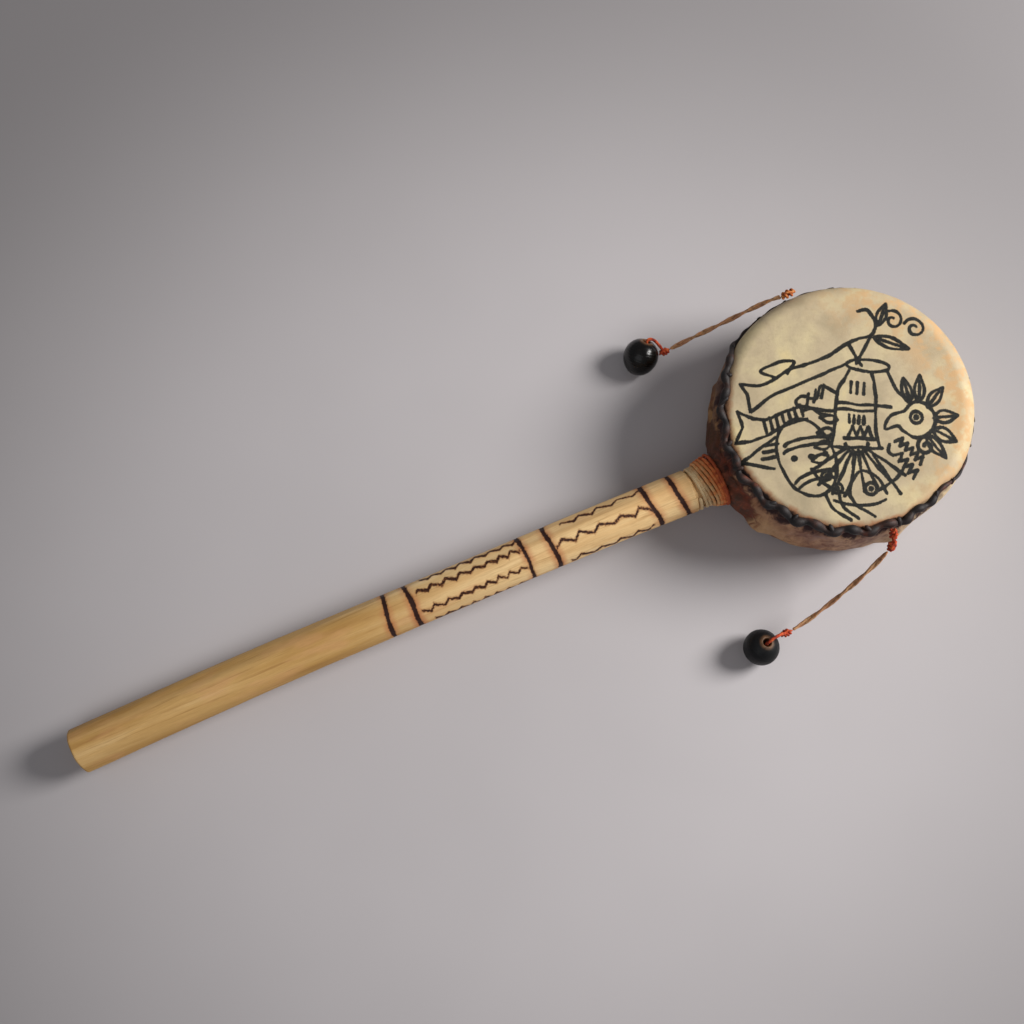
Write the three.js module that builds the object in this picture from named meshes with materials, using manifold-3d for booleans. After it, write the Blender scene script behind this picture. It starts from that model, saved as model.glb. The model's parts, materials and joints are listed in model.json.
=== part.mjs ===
// Pellet hand drum on a stick: a barrel-shaped wooden hoop between two laced hides, a peeled stick that
// passes through the hoop's wall, and two wooden striker beads on short cords.
//
// Millimetres, +Z up. The drum lies on its lower hide and on the stick's butt, so everything but the
// striker cords is drawn in the drum's own frame and then tilted by a couple of degrees:
//   u (local X) along the stick, away from its butt; v (local Y) across; w (local Z) out of the struck hide;
//   its origin is the middle of the hoop.

import * as THREE from 'three';
import { mergeVertices } from 'three/addons/utils/BufferGeometryUtils.js';
import Module from 'manifold-3d';

const wasm = await Module();
wasm.setup();

// ---- driving dimensions ----
const drumDepth = 44;
const bellyRadius = 53.2;      // side hide at its widest, before the folds
const lacedRadius = 48.4;      // hem of the struck hide, in the laced groove
const grooveRadius = 50.9;     // the groove's outer side, where the side hide's lip begins
const stickReach = 346.6;      // butt of the stick to the middle of the hoop
const hideThickness = 1.1;
const gap = 0.35;              // clearance between pieces that touch

const ovalRise = 0.6;          // the hoop was bent by hand: slightly longer one way
const ovalAngle = THREE.MathUtils.degToRad(29);

const buttRadius = 9.9;
const waistRadius = 9.15;
const shoulderRadius = 9.4;
const neckRadius = 7.8;        // whittled thinner where the twine and the hoop take it
const stickBow = 1.4;
const stickAside = { butt: -0.8, neck: -2.7 };   // the stick was not set quite square in the hoop
const buttSlant = 1.2;         // the butt is sawn a little out of square
const buttChamfer = 0.8;

const hoopWall = 5.5;
const hoopRadius = 51.2;
const hoopHalfDepth = 20.5;
const hoopShoulder = { across: 8, deep: 9 };

const sideCorner = 7;          // rounding of the side hide over the hoop's rims
const twineDiameter = 1.4;
const twineTurns = 8;
const lacingDiameter = 1.8;
const cordDiameter = 2.2;      // two strands laid side by side
const beadRadius = 7.6;
const beadHoleRadius = 1.7;

const roundSteps = 48;
const half = drumDepth / 2;
const tau = 2 * Math.PI;
const { cos, sin, min, max, PI } = Math;
const point = (x, y, z) => new THREE.Vector3(x, y, z);

// ---- colours ----
const finish = (color, roughness) => new THREE.MeshStandardMaterial({ color, roughness, metalness: 0 });
const finishes = {
  stick: finish(0xc9a46a, 0.6),
  hoop: finish(0x7a5636, 0.75),
  headHide: finish(0xd9c49a, 0.7),
  sideHide: finish(0xa57b52, 0.75),
  lacing: finish(0x2a201a, 0.8),
  twine: finish(0xb5713a, 0.8),
  knot: finish(0xb8431e, 0.8),
  cord: finish(0xa5805a, 0.85),
  bead: finish(0x1c1b1c, 0.35),
};

// ---- solids from rings of points ----
// Skins a run of rings that all have the same number of points. The run ends in flat fans, or, when looped,
// closes on its first ring. The winding is turned round if the solid came out inside out.
function skin(rings, looped = false) {
  const count = rings[0].length;
  const corners = rings.flat();
  const faces = [];
  const spans = looped ? rings.length : rings.length - 1;
  for (let i = 0; i < spans; i++) {
    const near = i * count;
    const far = ((i + 1) % rings.length) * count;
    for (let j = 0; j < count; j++) {
      const k = (j + 1) % count;
      faces.push(near + j, near + k, far + k, near + j, far + k, far + j);
    }
  }
  if (!looped) {
    for (const [start, flip] of [[0, true], [(rings.length - 1) * count, false]]) {
      const middle = corners.length;
      const ring = corners.slice(start, start + count);
      corners.push(ring.reduce((sum, corner) => sum.add(corner), point(0, 0, 0)).divideScalar(count));
      for (let j = 0; j < count; j++) {
        const k = (j + 1) % count;
        faces.push(middle, start + (flip ? k : j), start + (flip ? j : k));
      }
    }
  }
  const volume = faces.reduce((sum, _, n) => (n % 3 ? sum
    : sum + corners[faces[n]].dot(point(0, 0, 0).crossVectors(corners[faces[n + 1]], corners[faces[n + 2]]))), 0);
  if (volume < 0) faces.reverse();
  const geometry = new THREE.BufferGeometry();
  geometry.setAttribute('position', new THREE.Float32BufferAttribute(corners.flatMap((c) => [c.x, c.y, c.z]), 3));
  geometry.setIndex(faces);
  return geometry;
}

const turn = (steps, at) => Array.from({ length: steps }, (_, i) => at((i / steps) * tau));

// How far the hand-bent hoop stands out of round at an angle, in full at its wall and fading to the middle.
const outOfRound = (angle, radius) => ovalRise * cos(2 * (angle - ovalAngle)) * min(1, radius / hoopRadius);

// One level ring of the drum, pushed out by relief(angle).
function drumRing(radius, w, relief = () => 0) {
  return turn(roundSteps, (angle) => {
    const r = radius + outOfRound(angle, radius) + relief(angle);
    return point(r * cos(angle), r * sin(angle), w);
  });
}

function arc(centre, radii, from, to, steps) {
  return Array.from({ length: steps + 1 }, (_, i) => {
    const a = THREE.MathUtils.degToRad(from + ((to - from) * i) / steps);
    return [centre[0] + radii[0] * cos(a), centre[1] + radii[1] * sin(a)];
  });
}

// ---- joining and cutting ----
function toSolid(geometry) {
  const bare = geometry.clone();
  for (const name of Object.keys(bare.attributes)) if (name !== 'position') bare.deleteAttribute(name);
  const merged = mergeVertices(bare, 1e-4);
  const index = merged.index.array;
  const faces = [];
  for (let i = 0; i < index.length; i += 3) {
    const [a, b, c] = index.slice(i, i + 3);
    if (a !== b && b !== c && c !== a) faces.push(a, b, c);
  }
  return new wasm.Manifold(new wasm.Mesh({
    numProp: 3,
    vertProperties: new Float32Array(merged.attributes.position.array),
    triVerts: new Uint32Array(faces),
  }));
}

function toGeometry(solid) {
  const mesh = solid.getMesh();
  const geometry = new THREE.BufferGeometry();
  geometry.setAttribute('position', new THREE.BufferAttribute(new Float32Array(mesh.vertProperties), 3));
  geometry.setIndex(new THREE.BufferAttribute(new Uint32Array(mesh.triVerts), 1));
  return geometry;
}

// A round bar along u, used to clear the stick through the hoop and the hide.
function barAlongStick(radius, from, to) {
  const bar = new THREE.CylinderGeometry(radius, radius, to - from, 28);
  return bar.rotateZ(PI / 2).translate((from + to) / 2, stickAside.neck, 0);
}

// ---- the stick ----
const neckFrom = -70;          // where the whittled neck starts
const tenonEnd = -38;          // inside the hoop

function stickRadius(u) {
  if (u > neckFrom + 2) return neckRadius;
  if (u > neckFrom) return THREE.MathUtils.lerp(shoulderRadius, neckRadius, (u - neckFrom) / 2);
  const along = (u + stickReach) / (stickReach + neckFrom);
  return along < 0.6
    ? THREE.MathUtils.lerp(buttRadius, waistRadius, along / 0.6)
    : THREE.MathUtils.lerp(waistRadius, shoulderRadius, (along - 0.6) / 0.4);
}

function stickShape() {
  const sides = 20;
  const stations = [-stickReach, -stickReach + buttChamfer];
  for (let i = 1; i <= 13; i++) stations.push(THREE.MathUtils.lerp(-stickReach + buttChamfer, neckFrom, i / 13));
  stations.push(neckFrom + 2, -56, tenonEnd);
  return skin(stations.map((u, i) => {
    const along = (u + stickReach) / (stickReach + neckFrom);
    const bow = along < 1 ? stickBow * sin(PI * along) : 0;
    const middle = THREE.MathUtils.lerp(stickAside.butt, stickAside.neck, min(1, along)) + bow;
    const r = stickRadius(u) - (i === 0 ? buttChamfer : 0);
    const knife = u < neckFrom ? 0.12 : 0.04;
    const slant = (buttSlant * max(0, 1 - (u + stickReach) / 30)) / (2 * buttRadius);
    return turn(sides, (a) => {
      const whittled = r + knife * (sin(3 * a + u / 31) + cos(5 * a - u / 23));
      const across = whittled * sin(a);
      return point(u - slant * across, middle + across, whittled * cos(a));
    });
  }));
}

// ---- the hoop ----
function hoopShape() {
  const { across, deep } = hoopShoulder;
  const corner = [hoopRadius - across, hoopHalfDepth - deep];
  const upper = arc(corner, [across, deep], 90, 0, 3);
  const lower = arc([corner[0], -corner[1]], [across, deep], 0, -90, 3);
  const inside = [[-hoopHalfDepth, hoopWall], [-9, 0], [9, 0], [hoopHalfDepth, hoopWall]]
    .map(([w, lip]) => [hoopRadius - hoopWall - 0.7 * lip, w]);
  const profile = [...upper, ...lower, ...inside];
  const ring = skin(turn(roundSteps, (a) => profile.map(([r, w]) => {
    const out = r + outOfRound(a, r);
    return point(out * cos(a), out * sin(a), w);
  })), true);
  return toGeometry(toSolid(ring).subtract(toSolid(barAlongStick(neckRadius + gap, -70, -30))));
}

// ---- the struck hide: a flat disc that turns down over the rim into the laced groove ----
function headShape() {
  const flat = 43;
  const drop = 1.9;
  const steps = 3;
  const over = Array.from({ length: steps + 1 }, (_, i) => i / steps);
  const top = (t) => [THREE.MathUtils.lerp(flat, lacedRadius, t), half - drop * t * t];
  const outer = over.map((t) => drumRing(...top(t)));
  const inner = over.map((t) => drumRing(top(t)[0], top(t)[1] - hideThickness)).reverse();
  return skin([...outer, ...inner]);
}

// ---- the side and lower hide: one skin drawn up round the hoop, in folds, and gathered onto the stick ----
const lobes = [                // where the gathers bulge, by angle round the drum
  { angle: 209, reach: 4.2, width: 8, level: -3 },
  { angle: 267, reach: 3.6, width: 6, level: 4 },
];

function folds(angle, w) {
  const upTheWall = max(0, 1 - (w / (half - 2)) ** 2);
  let out = upTheWall * (0.35 * cos(7 * angle + 0.9 * sin(3 * angle)) + 0.25 * cos(13 * angle + w / 9));
  for (const { angle: middle, reach, width, level } of lobes) {
    const off = THREE.MathUtils.euclideanModulo(THREE.MathUtils.radToDeg(angle) - middle + 180, 360) - 180;
    out += reach * upTheWall * Math.exp(-((off / width) ** 2) - ((w - level) / 13) ** 2);
  }
  return out;
}

// The collar lies on the whittled neck under the twine, then flares out to the wall in pleats.
const collarStart = -63;
const collarEnd = -56.1;

function collarRadius(u) {
  const along = THREE.MathUtils.clamp((u - collarStart) / (collarEnd - collarStart), 0, 1);
  return THREE.MathUtils.lerp(9, 10.6, along);
}

function flareShape() {
  const finishAt = -42;
  const stations = [collarStart, collarEnd, -54.6, -52.5, -49.5, -46, finishAt];
  return skin(stations.map((u) => {
    const t = max(0, (u - collarEnd) / (finishAt - collarEnd));
    const across = collarRadius(u) + 24 * t ** 0.75;
    const deep = collarRadius(u) + 9 * t ** 0.75;
    const middle = stickAside.neck * (1 - t);
    return turn(36, (a) => {
      const pleat = 1 + 0.035 * min(1, 4 * t) * cos(9 * a);
      return point(u, middle + across * pleat * cos(a), deep * pleat * sin(a));
    });
  }));
}

function sideShape() {
  const cornerAt = [bellyRadius - sideCorner, half - sideCorner];
  const outside = [
    ...arc([cornerAt[0], -cornerAt[1]], [sideCorner, sideCorner], -90, 0, 4),
    [bellyRadius, -6], [bellyRadius, 6],
    ...arc(cornerAt, [sideCorner, sideCorner], 0, 48, 3),
    [grooveRadius + 0.3, half - 2.8],
  ];
  const { across, deep } = hoopShoulder;
  const inside = [
    ...arc([hoopRadius - across, deep - hoopHalfDepth], [across + gap, deep + gap], -90, 0, 3),
    [hoopRadius + gap, 12],
    [grooveRadius, half - 4],
    [grooveRadius, half + 2],
  ];
  const outer = toSolid(skin(outside.map(([r, w]) => drumRing(r, w, (a) => folds(a, w)))));
  const hollow = toSolid(skin(inside.map(([r, w]) => drumRing(r, w))));
  return toGeometry(outer
    .add(toSolid(flareShape()))
    .subtract(hollow)
    .subtract(toSolid(barAlongStick(neckRadius + gap, -70, -30))));
}

// ---- the lacing: a cord that runs round the groove, up and down with the stitches ----
const stitches = 22;

function lacingShape() {
  const steps = 3 * stitches;
  const r = lacedRadius + 1.2;
  const w = half - 2.35;
  const sides = 5;
  return skin(turn(steps, (a) => {
    const radius = r + outOfRound(a, r);
    const middle = point(radius * cos(a), radius * sin(a), w + 0.45 * cos(stitches * a));
    return turn(sides, (b) => {
      const out = (lacingDiameter / 2) * cos(b);
      return point(middle.x + out * cos(a), middle.y + out * sin(a), middle.z + (lacingDiameter / 2) * sin(b));
    });
  }), true);
}

// ---- the binding: turns of twine laid side by side, fused into one sleeve ----
function bindingShape() {
  const first = -66.9;
  const under = (u) => (u < collarStart ? neckRadius : collarRadius(u)) + gap;
  const outline = [];
  for (let i = 0; i < twineTurns; i++) {
    const u = first + i * twineDiameter;
    const crest = under(u + twineDiameter / 2) + twineDiameter;
    outline.push([u - 0.5 * twineDiameter, crest - 0.5], [u - 0.2 * twineDiameter, crest], [u + 0.2 * twineDiameter, crest]);
  }
  const end = first + (twineTurns - 0.5) * twineDiameter;
  const start = first - 0.5 * twineDiameter;
  outline.push([end, under(end) + twineDiameter - 0.5], [end, under(end)]);
  outline.push([collarStart - gap, under(collarStart)], [collarStart - gap, under(start)], [start, under(start)]);
  return skin(turn(18, (a) => outline.map(([u, r]) => point(u, stickAside.neck + r * cos(a), r * sin(a)))), true);
}

// ---- knots: short wraps of cord, as a lump with three ridges along an axis ----
function knotShape(centre, axis, radius, length) {
  const profile = [[-0.5, 0.35], [-0.42, 0.8], [-0.28, 1], [-0.14, 0.78], [0, 1.05], [0.14, 0.78], [0.28, 1], [0.42, 0.8], [0.5, 0.35]];
  const geometry = skin(profile.map(([along, r]) => turn(10, (a) => point(r * radius * cos(a), r * radius * sin(a), along * length))));
  const aim = new THREE.Quaternion().setFromUnitVectors(point(0, 0, 1), axis.clone().normalize());
  return geometry.applyQuaternion(aim).translate(centre.x, centre.y, centre.z);
}

function cordShape(points, diameter, steps) {
  const section = new THREE.Shape(turn(8, (a) => new THREE.Vector2((diameter / 2) * cos(a), (diameter / 2) * sin(a))));
  const path = new THREE.CatmullRomCurve3(points.map((p) => point(...p)), false, 'centripetal');
  return new THREE.ExtrudeGeometry(section, { steps, extrudePath: path, bevelEnabled: false });
}

// ---- beads: turned wood, a little narrower at the far end, with a bore for the cord ----
function beadShape({ centre, bore, stretch, taper }) {
  const steps = 9;
  const side = Array.from({ length: steps + 1 }, (_, i) => {
    const a = THREE.MathUtils.lerp(-77, 77, i / steps);
    const rad = THREE.MathUtils.degToRad(a);
    return [beadRadius * cos(rad) * (1 + taper * sin(rad)), beadRadius * stretch * sin(rad)];
  });
  const bottom = [beadHoleRadius, side[0][1]];
  const top = [beadHoleRadius, side[steps][1]];
  const profile = [bottom, ...side, top];
  const geometry = skin(turn(18, (a) => profile.map(([r, w]) => point(r * cos(a), r * sin(a), w))), true);
  const aim = new THREE.Quaternion().setFromUnitVectors(point(0, 0, 1), bore.clone().normalize());
  geometry.applyQuaternion(aim);
  geometry.computeBoundingBox();
  return geometry.translate(centre.x, centre.y, -geometry.boundingBox.min.z);
}

// ---- the two strikers, in the resting frame: each lies on the surface beside the drum ----
const strikers = {
  left: {
    rimKnot: [{ at: [144.4, 55.1, 45.0], axis: [1, 0.05, 0.05], radius: 1.6, length: 5.6 }],
    route: [
      [141.2, 55.2, 44.6], [138.9, 55.8, 43.0], [136.4, 56.4, 41.0], [133.4, 56.9, 38.6], [129.9, 57.4, 35.7],
      [126.2, 57.9, 32.6], [122.4, 58.4, 29.4], [118.6, 58.9, 26.2], [114.8, 59.4, 23.1], [111.0, 59.9, 20.1],
      [107.2, 60.4, 17.2], [103.6, 60.8, 14.5], [100.4, 61.1, 12.1], [98.0, 61.3, 10.3],
    ],
    beadKnot: { at: [95.4, 61.5, 8.9], axis: [-1, 0.05, -0.45], radius: 1.6, length: 4.2 },
    loop: [[95.0, 61.8, 9.2], [93.6, 64.6, 12.2], [91.8, 67.1, 14.4], [89.6, 67.8, 14.5], [88.2, 66.4, 12.4], [86.4, 64.8, 10.0]],
    bead: { centre: point(84.6, 63.4, 0), bore: point(0.56, 0.54, 0.63), stretch: 1.1, taper: 0.07 },
  },
  right: {
    rimKnot: [
      { at: [139.4, -53.4, 45.0], axis: [-0.3, -1, -0.55], radius: 1.6, length: 4 },
      { at: [138.0, -57.1, 41.6], axis: [-0.5, -0.75, -0.8], radius: 1.5, length: 4 },
    ],
    route: [
      [136.0, -58.6, 38.9], [133.6, -59.7, 36.6], [130.8, -61.0, 34.2], [127.6, -62.3, 31.7], [124.2, -63.6, 29.0],
      [120.8, -64.8, 26.2], [117.4, -65.9, 23.4], [114.0, -67.0, 20.6], [110.6, -68.0, 17.9], [107.2, -68.9, 15.4],
      [103.8, -69.8, 13.2], [100.4, -70.5, 11.4], [97.0, -71.1, 10.1], [94.0, -71.5, 9.4],
    ],
    beadKnot: { at: [91.1, -71.7, 8.9], axis: [-1, -0.05, -0.15], radius: 1.7, length: 4.4 },
    loop: [[90.6, -71.7, 9.3], [88.8, -71.4, 12.4], [86.6, -71.4, 15.2], [83.6, -71.7, 16.9], [81.0, -72.4, 15.9], [80.2, -72.7, 12.4], [79.4, -72.9, 9.0]],
    bead: { centre: point(78.9, -73.0, 0), bore: point(0.26, 0.12, 0.95), stretch: 1.0, taper: 0.02 },
  },
};

function beadKnotShape({ beadKnot, loop }) {
  const lump = toSolid(knotShape(point(...beadKnot.at), point(...beadKnot.axis), beadKnot.radius, beadKnot.length));
  return toGeometry(lump.add(toSolid(cordShape(loop, 1.5, 10))));
}

function rimKnotShape({ rimKnot }) {
  const lumps = rimKnot.map(({ at, axis, radius, length }) => toSolid(knotShape(point(...at), point(...axis), radius, length)));
  const joined = lumps.reduce((sum, lump) => sum.add(lump));
  if (rimKnot.length === 1) return toGeometry(joined);
  const link = cordShape(rimKnot.map(({ at }) => at), 1.6, 3);
  return toGeometry(joined.add(toSolid(link)));
}

// ---- the scene graph ----
const handDrum = new THREE.Group();
const lying = new THREE.Group();       // the drum and its stick, tilted as they lie
handDrum.add(lying);

function place(group, name, geometry, material) {
  const mesh = new THREE.Mesh(geometry, material);
  mesh.name = name;
  group.add(mesh);
}

place(lying, 'stick', stickShape(), finishes.stick);
place(lying, 'hoop', hoopShape(), finishes.hoop);
place(lying, 'head_hide', headShape(), finishes.headHide);
place(lying, 'side_hide', sideShape(), finishes.sideHide);
place(lying, 'lacing', lacingShape(), finishes.lacing);
place(lying, 'neck_binding', bindingShape(), finishes.twine);

// The drum rests on the lower hide's near corner and on the underside of the butt.
const restRadius = bellyRadius - sideCorner;
const tilt = Math.atan2(half - buttRadius, stickReach - restRadius);
lying.rotation.y = -tilt;
lying.updateMatrixWorld(true);
const box = new THREE.Box3().setFromObject(lying, true);
lying.position.set(-(box.min.x + box.max.x) / 2, -(box.min.y + box.max.y) / 2, -box.min.z);

for (const [side, striker] of Object.entries(strikers)) {
  place(handDrum, `rim_knot_${side}`, rimKnotShape(striker), finishes.knot);
  place(handDrum, `striker_cord_${side}`, cordShape(striker.route, cordDiameter, 16), finishes.cord);
  place(handDrum, `bead_knot_${side}`, beadKnotShape(striker), finishes.knot);
  place(handDrum, `bead_${side}`, beadShape(striker.bead), finishes.bead);
}

handDrum.updateMatrixWorld(true);
export default handDrum;
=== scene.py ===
import json

import bpy
import numpy as np
from mathutils import Matrix, Vector


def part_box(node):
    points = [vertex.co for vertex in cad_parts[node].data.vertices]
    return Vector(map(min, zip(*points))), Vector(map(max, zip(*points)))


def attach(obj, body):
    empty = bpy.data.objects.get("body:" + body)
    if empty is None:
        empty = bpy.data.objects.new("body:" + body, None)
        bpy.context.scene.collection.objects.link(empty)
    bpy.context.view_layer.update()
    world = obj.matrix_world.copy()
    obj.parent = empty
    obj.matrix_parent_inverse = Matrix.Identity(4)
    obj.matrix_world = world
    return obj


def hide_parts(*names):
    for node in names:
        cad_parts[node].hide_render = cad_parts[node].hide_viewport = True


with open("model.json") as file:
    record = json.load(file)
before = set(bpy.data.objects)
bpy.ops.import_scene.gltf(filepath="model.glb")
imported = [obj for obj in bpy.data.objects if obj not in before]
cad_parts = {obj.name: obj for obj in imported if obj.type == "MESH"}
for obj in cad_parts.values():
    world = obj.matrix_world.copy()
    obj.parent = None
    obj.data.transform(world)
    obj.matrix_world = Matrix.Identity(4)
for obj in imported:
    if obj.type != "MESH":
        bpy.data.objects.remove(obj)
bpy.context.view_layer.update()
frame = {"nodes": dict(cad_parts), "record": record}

# A pellet hand drum that lies on a pale table. Sizes below are in millimetres and angles in degrees.
# The drum's own frame: u runs along the stick away from its butt, v across it, w out of the struck hide,
# and the origin is the middle of the hoop. lie() takes such points to where the drum rests.
mm = 0.001
full = 2 * np.pi
mounts = {m["name"]: np.array(m["pos_m"]) / mm for m in frame["record"]["mounts"]}
faceToFace = mounts["struck_face"] - mounts["lower_face"]
drum = {
    "middle": (mounts["struck_face"] + mounts["lower_face"]) / 2,
    "half": np.linalg.norm(faceToFace) / 2,
    "belly": 53.2,          # radius of the side hide
    "corner": 7.0,          # rounding of both hides over the hoop's rims
    "nearHem": 57.0,        # where the hem lies beside the stick, in degrees up the rim's rounding
    "farHem": -9.0,         # and on the far side, where it is drawn lower
    "farMiddle": 37,        # the angle at the middle of the far side
    "farReach": (104, 78),  # how far from there the hem is level with the near side, and with the far side
    "hemWaves": 1.5,        # how much the hem wanders, in degrees
    "ovalRise": 0.6,        # the hoop is slightly longer one way
    "ovalAngle": 29,        # which way that is
    "stitches": 22,
}
stainAndShadeTurn = 2.55            # radians back to where both hides are darkest at the hem: partly stain, partly painted shade on the side away from the lamp
upward = faceToFace / np.linalg.norm(faceToFace)
across = np.array([0.0, 1.0, 0.0])
forward = np.cross(across, upward)


def lie(points):
    # u, v and w steps from the hoop's middle along the drum's three axes, then into metres; what would dip
    # below the table rests on it
    points = np.asarray(points, float)
    placed = points[..., :1] * forward + points[..., 1:2] * across + points[..., 2:] * upward
    return onTable(drum["middle"] + placed) * mm


def onTable(points):
    return np.concatenate([points[..., :2], np.maximum(points[..., 2:], 0.02)], -1)


def polar(angle, radius, w):
    # points at that angle and distance from the drum's axis, at height w
    return np.stack(np.broadcast_arrays(radius * np.cos(angle), radius * np.sin(angle), w), -1)


def drumTurn(angle, radius):
    # how far the hoop stands out of round: a cosine of twice the angle, fading towards the middle
    share = np.minimum(1, radius / drum["belly"])
    return drum["ovalRise"] * share * np.cos(2 * (angle - np.radians(drum["ovalAngle"])))


def hemClimb(angle):
    # degrees up the rim's rounding at which the two hides are laced together
    off = np.abs(np.degrees((angle - np.radians(drum["farMiddle"]) + np.pi) % full - np.pi))
    far = smoothStep(*drum["farReach"], off)
    waves = drum["hemWaves"] * np.sin(5 * angle + 1)
    return drum["nearHem"] + (drum["farHem"] - drum["nearHem"]) * far + waves


def overRim(angle, climb, out=0.0):
    # a point over the rim: the corner's quarter circle at that climb, moved out by so many millimetres
    climb = np.radians(climb)
    reach = drum["corner"] + out
    radius = drum["belly"] - drum["corner"] + reach * np.cos(climb)
    radius = radius + drumTurn(angle, radius)
    return polar(angle, radius, drum["half"] - drum["corner"] + reach * np.sin(climb))


def linear(red, green, blue):
    # screen values of 0 to 255 to the linear light that materials mix
    value = np.array([red, green, blue]) / 255
    return tuple(np.where(value > 0.04045, ((value + 0.055) / 1.055) ** 2.4, value / 12.92)) + (1.0,)


def straightShare(low, high, value):
    # the straight share of the way from low to high
    return np.clip((value - low) / (high - low), 0, 1)


def smoothStep(low, high, value):
    t = np.clip((value - low) / (high - low), 0, 1)
    return t * t * (3 - 2 * t)


def lumps(points, size, seed):
    # smooth noise from -1 to 1: random values on a lattice of that size, eased from corner to corner
    lattice = np.random.default_rng(seed).uniform(-1, 1, (32, 32, 32))
    where = np.asarray(points, float) / size
    cell = np.floor(where).astype(int)
    t = where - cell
    t = t * t * (3 - 2 * t)
    total = 0
    for corner in np.ndindex(2, 2, 2):
        at = (cell + corner) % 32
        weight = np.prod(np.where(np.array(corner), t, 1 - t), -1)
        total = total + weight * lattice[at[..., 0], at[..., 1], at[..., 2]]
    return total


def noiseAt(seed, *where):
    # the same noise at separate coordinates, each already divided by the size of a lump
    return lumps(np.stack(np.broadcast_arrays(*where), -1), 1, seed)


# meshes from rings of points
def shell(rings, values=None, looped=False):
    # quads between neighbouring rings; the run ends in fans, or closes on its first ring when looped
    rings = np.asarray(rings, float)
    rows, columns = rings.shape[:2]
    i = np.arange(rows if looped else rows - 1)[:, None]
    j = np.arange(columns)[None, :]
    k = (j + 1) % columns
    near = i * columns
    far = (i + 1) % rows * columns
    quads = np.stack([near + j, near + k, far + k, far + j], -1).reshape(-1, 4)
    points = rings.reshape(-1, 3)
    values = {name: np.broadcast_to(v, (rows, columns)) for name, v in (values or {}).items()}
    flat = {name: v.reshape(-1) for name, v in values.items()}
    triangles = np.zeros((0, 3), int)
    if not looped:
        j = np.arange(columns)
        k = (j + 1) % columns
        last = (rows - 1) * columns
        count = len(points)
        points = np.vstack([points, rings[0].mean(0), rings[-1].mean(0)])
        starting = np.stack([np.full(columns, count), k, j], -1)
        ending = np.stack([np.full(columns, count + 1), last + j, last + k], -1)
        triangles = np.vstack([starting, ending])
        flat = {name: np.concatenate([flat[name], [v[0].mean(), v[-1].mean()]]) for name, v in values.items()}
    return outward(points, quads, triangles, flat)


def outward(points, quads, triangles, values):
    # turns the faces round if the closed shape's signed volume is below zero
    every = np.vstack([quads[:, [0, 1, 2]], quads[:, [0, 2, 3]], triangles])
    centred = points - points.mean(0)
    a, b, c = (centred[every[:, n]] for n in range(3))
    if np.einsum("ij,ij->i", a, np.cross(b, c)).sum() < 0:
        quads = quads[:, ::-1]
        triangles = triangles[:, ::-1]
    return {"points": points, "quads": quads, "triangles": triangles, "values": values}


def together(shells):
    # several closed shells as one mesh
    starts = np.cumsum([0] + [len(s["points"]) for s in shells[:-1]])
    names = sorted({name for s in shells for name in s["values"]})
    empty = [np.zeros(len(s["points"])) for s in shells]
    return {
        "points": np.vstack([s["points"] for s in shells]),
        "quads": np.vstack([s["quads"] + n for s, n in zip(shells, starts)]),
        "triangles": np.vstack([s["triangles"] + n for s, n in zip(shells, starts)]),
        "values": {m: np.concatenate([s["values"].get(m, e) for s, e in zip(shells, empty)]) for m in names},
    }


def meshFrom(name, shape):
    mesh = bpy.data.meshes.new(name)
    quads = np.ascontiguousarray(shape["quads"])
    triangles = np.ascontiguousarray(shape["triangles"])
    corners = np.concatenate([quads.ravel(), triangles.ravel()])
    starts = np.concatenate([np.arange(len(quads)) * 4, len(quads) * 4 + np.arange(len(triangles)) * 3])
    mesh.vertices.add(len(shape["points"]))
    mesh.vertices.foreach_set("co", shape["points"].astype(np.float32).ravel())
    mesh.loops.add(len(corners))
    mesh.loops.foreach_set("vertex_index", corners.astype(np.int32))
    mesh.polygons.add(len(starts))
    mesh.polygons.foreach_set("loop_start", starts.astype(np.int32))
    mesh.update(calc_edges=True)
    mesh.validate()
    setValues(mesh, shape["values"])
    mesh.polygons.foreach_set("use_smooth", np.ones(len(starts), bool))
    return mesh


def setValues(mesh, values):
    for name, value in values.items():
        layer = mesh.attributes.new(name, "FLOAT", "POINT")
        layer.data.foreach_set("value", np.asarray(value, np.float32))


def added(name, data):
    made = bpy.data.objects.new(name, data)
    bpy.context.scene.collection.objects.link(made)
    return made


def inMetres(shape):
    return dict(shape, points=shape["points"] * mm)


def lying(shape):
    return dict(shape, points=lie(shape["points"]))


def place(name, shape, material, slot, *nodes):
    # one visible piece, from a shape in metres or from a mesh
    mesh = meshFrom(name, shape) if isinstance(shape, dict) else shape
    piece = added(name, mesh)
    mesh.materials.clear()
    mesh.materials.append(material)
    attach(piece, "root")
    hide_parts(*nodes)
    print(name, len(mesh.polygons), "faces")
    return piece


# paths and threads
def smoothPath(points, count):
    # a cubic through every point whose slope there is half the step between its neighbours
    knots = np.asarray(points, float)
    padded = np.vstack([2 * knots[0] - knots[1], knots, 2 * knots[-1] - knots[-2]])
    where = np.linspace(0, len(knots) - 1, count)
    span = np.minimum(where.astype(int), len(knots) - 2)
    t = (where - span)[:, None]
    a, b, c, d = (padded[span + n] for n in range(4))
    return 0.5 * (2 * b + (c - a) * t + (2 * a - 5 * b + 4 * c - d) * t**2 + (3 * b - a - 3 * c + d) * t**3)


def distanceAlong(path):
    steps = np.linalg.norm(np.diff(path, axis=0), axis=1)
    return np.concatenate([[0], np.cumsum(steps)])


def evenly(path, step):
    # the same line with points one step apart
    run = distanceAlong(path)
    marks = np.linspace(0, run[-1], max(3, int(run[-1] / step) + 1))
    return np.stack([np.interp(marks, run, path[:, n]) for n in range(3)], -1)


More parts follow.
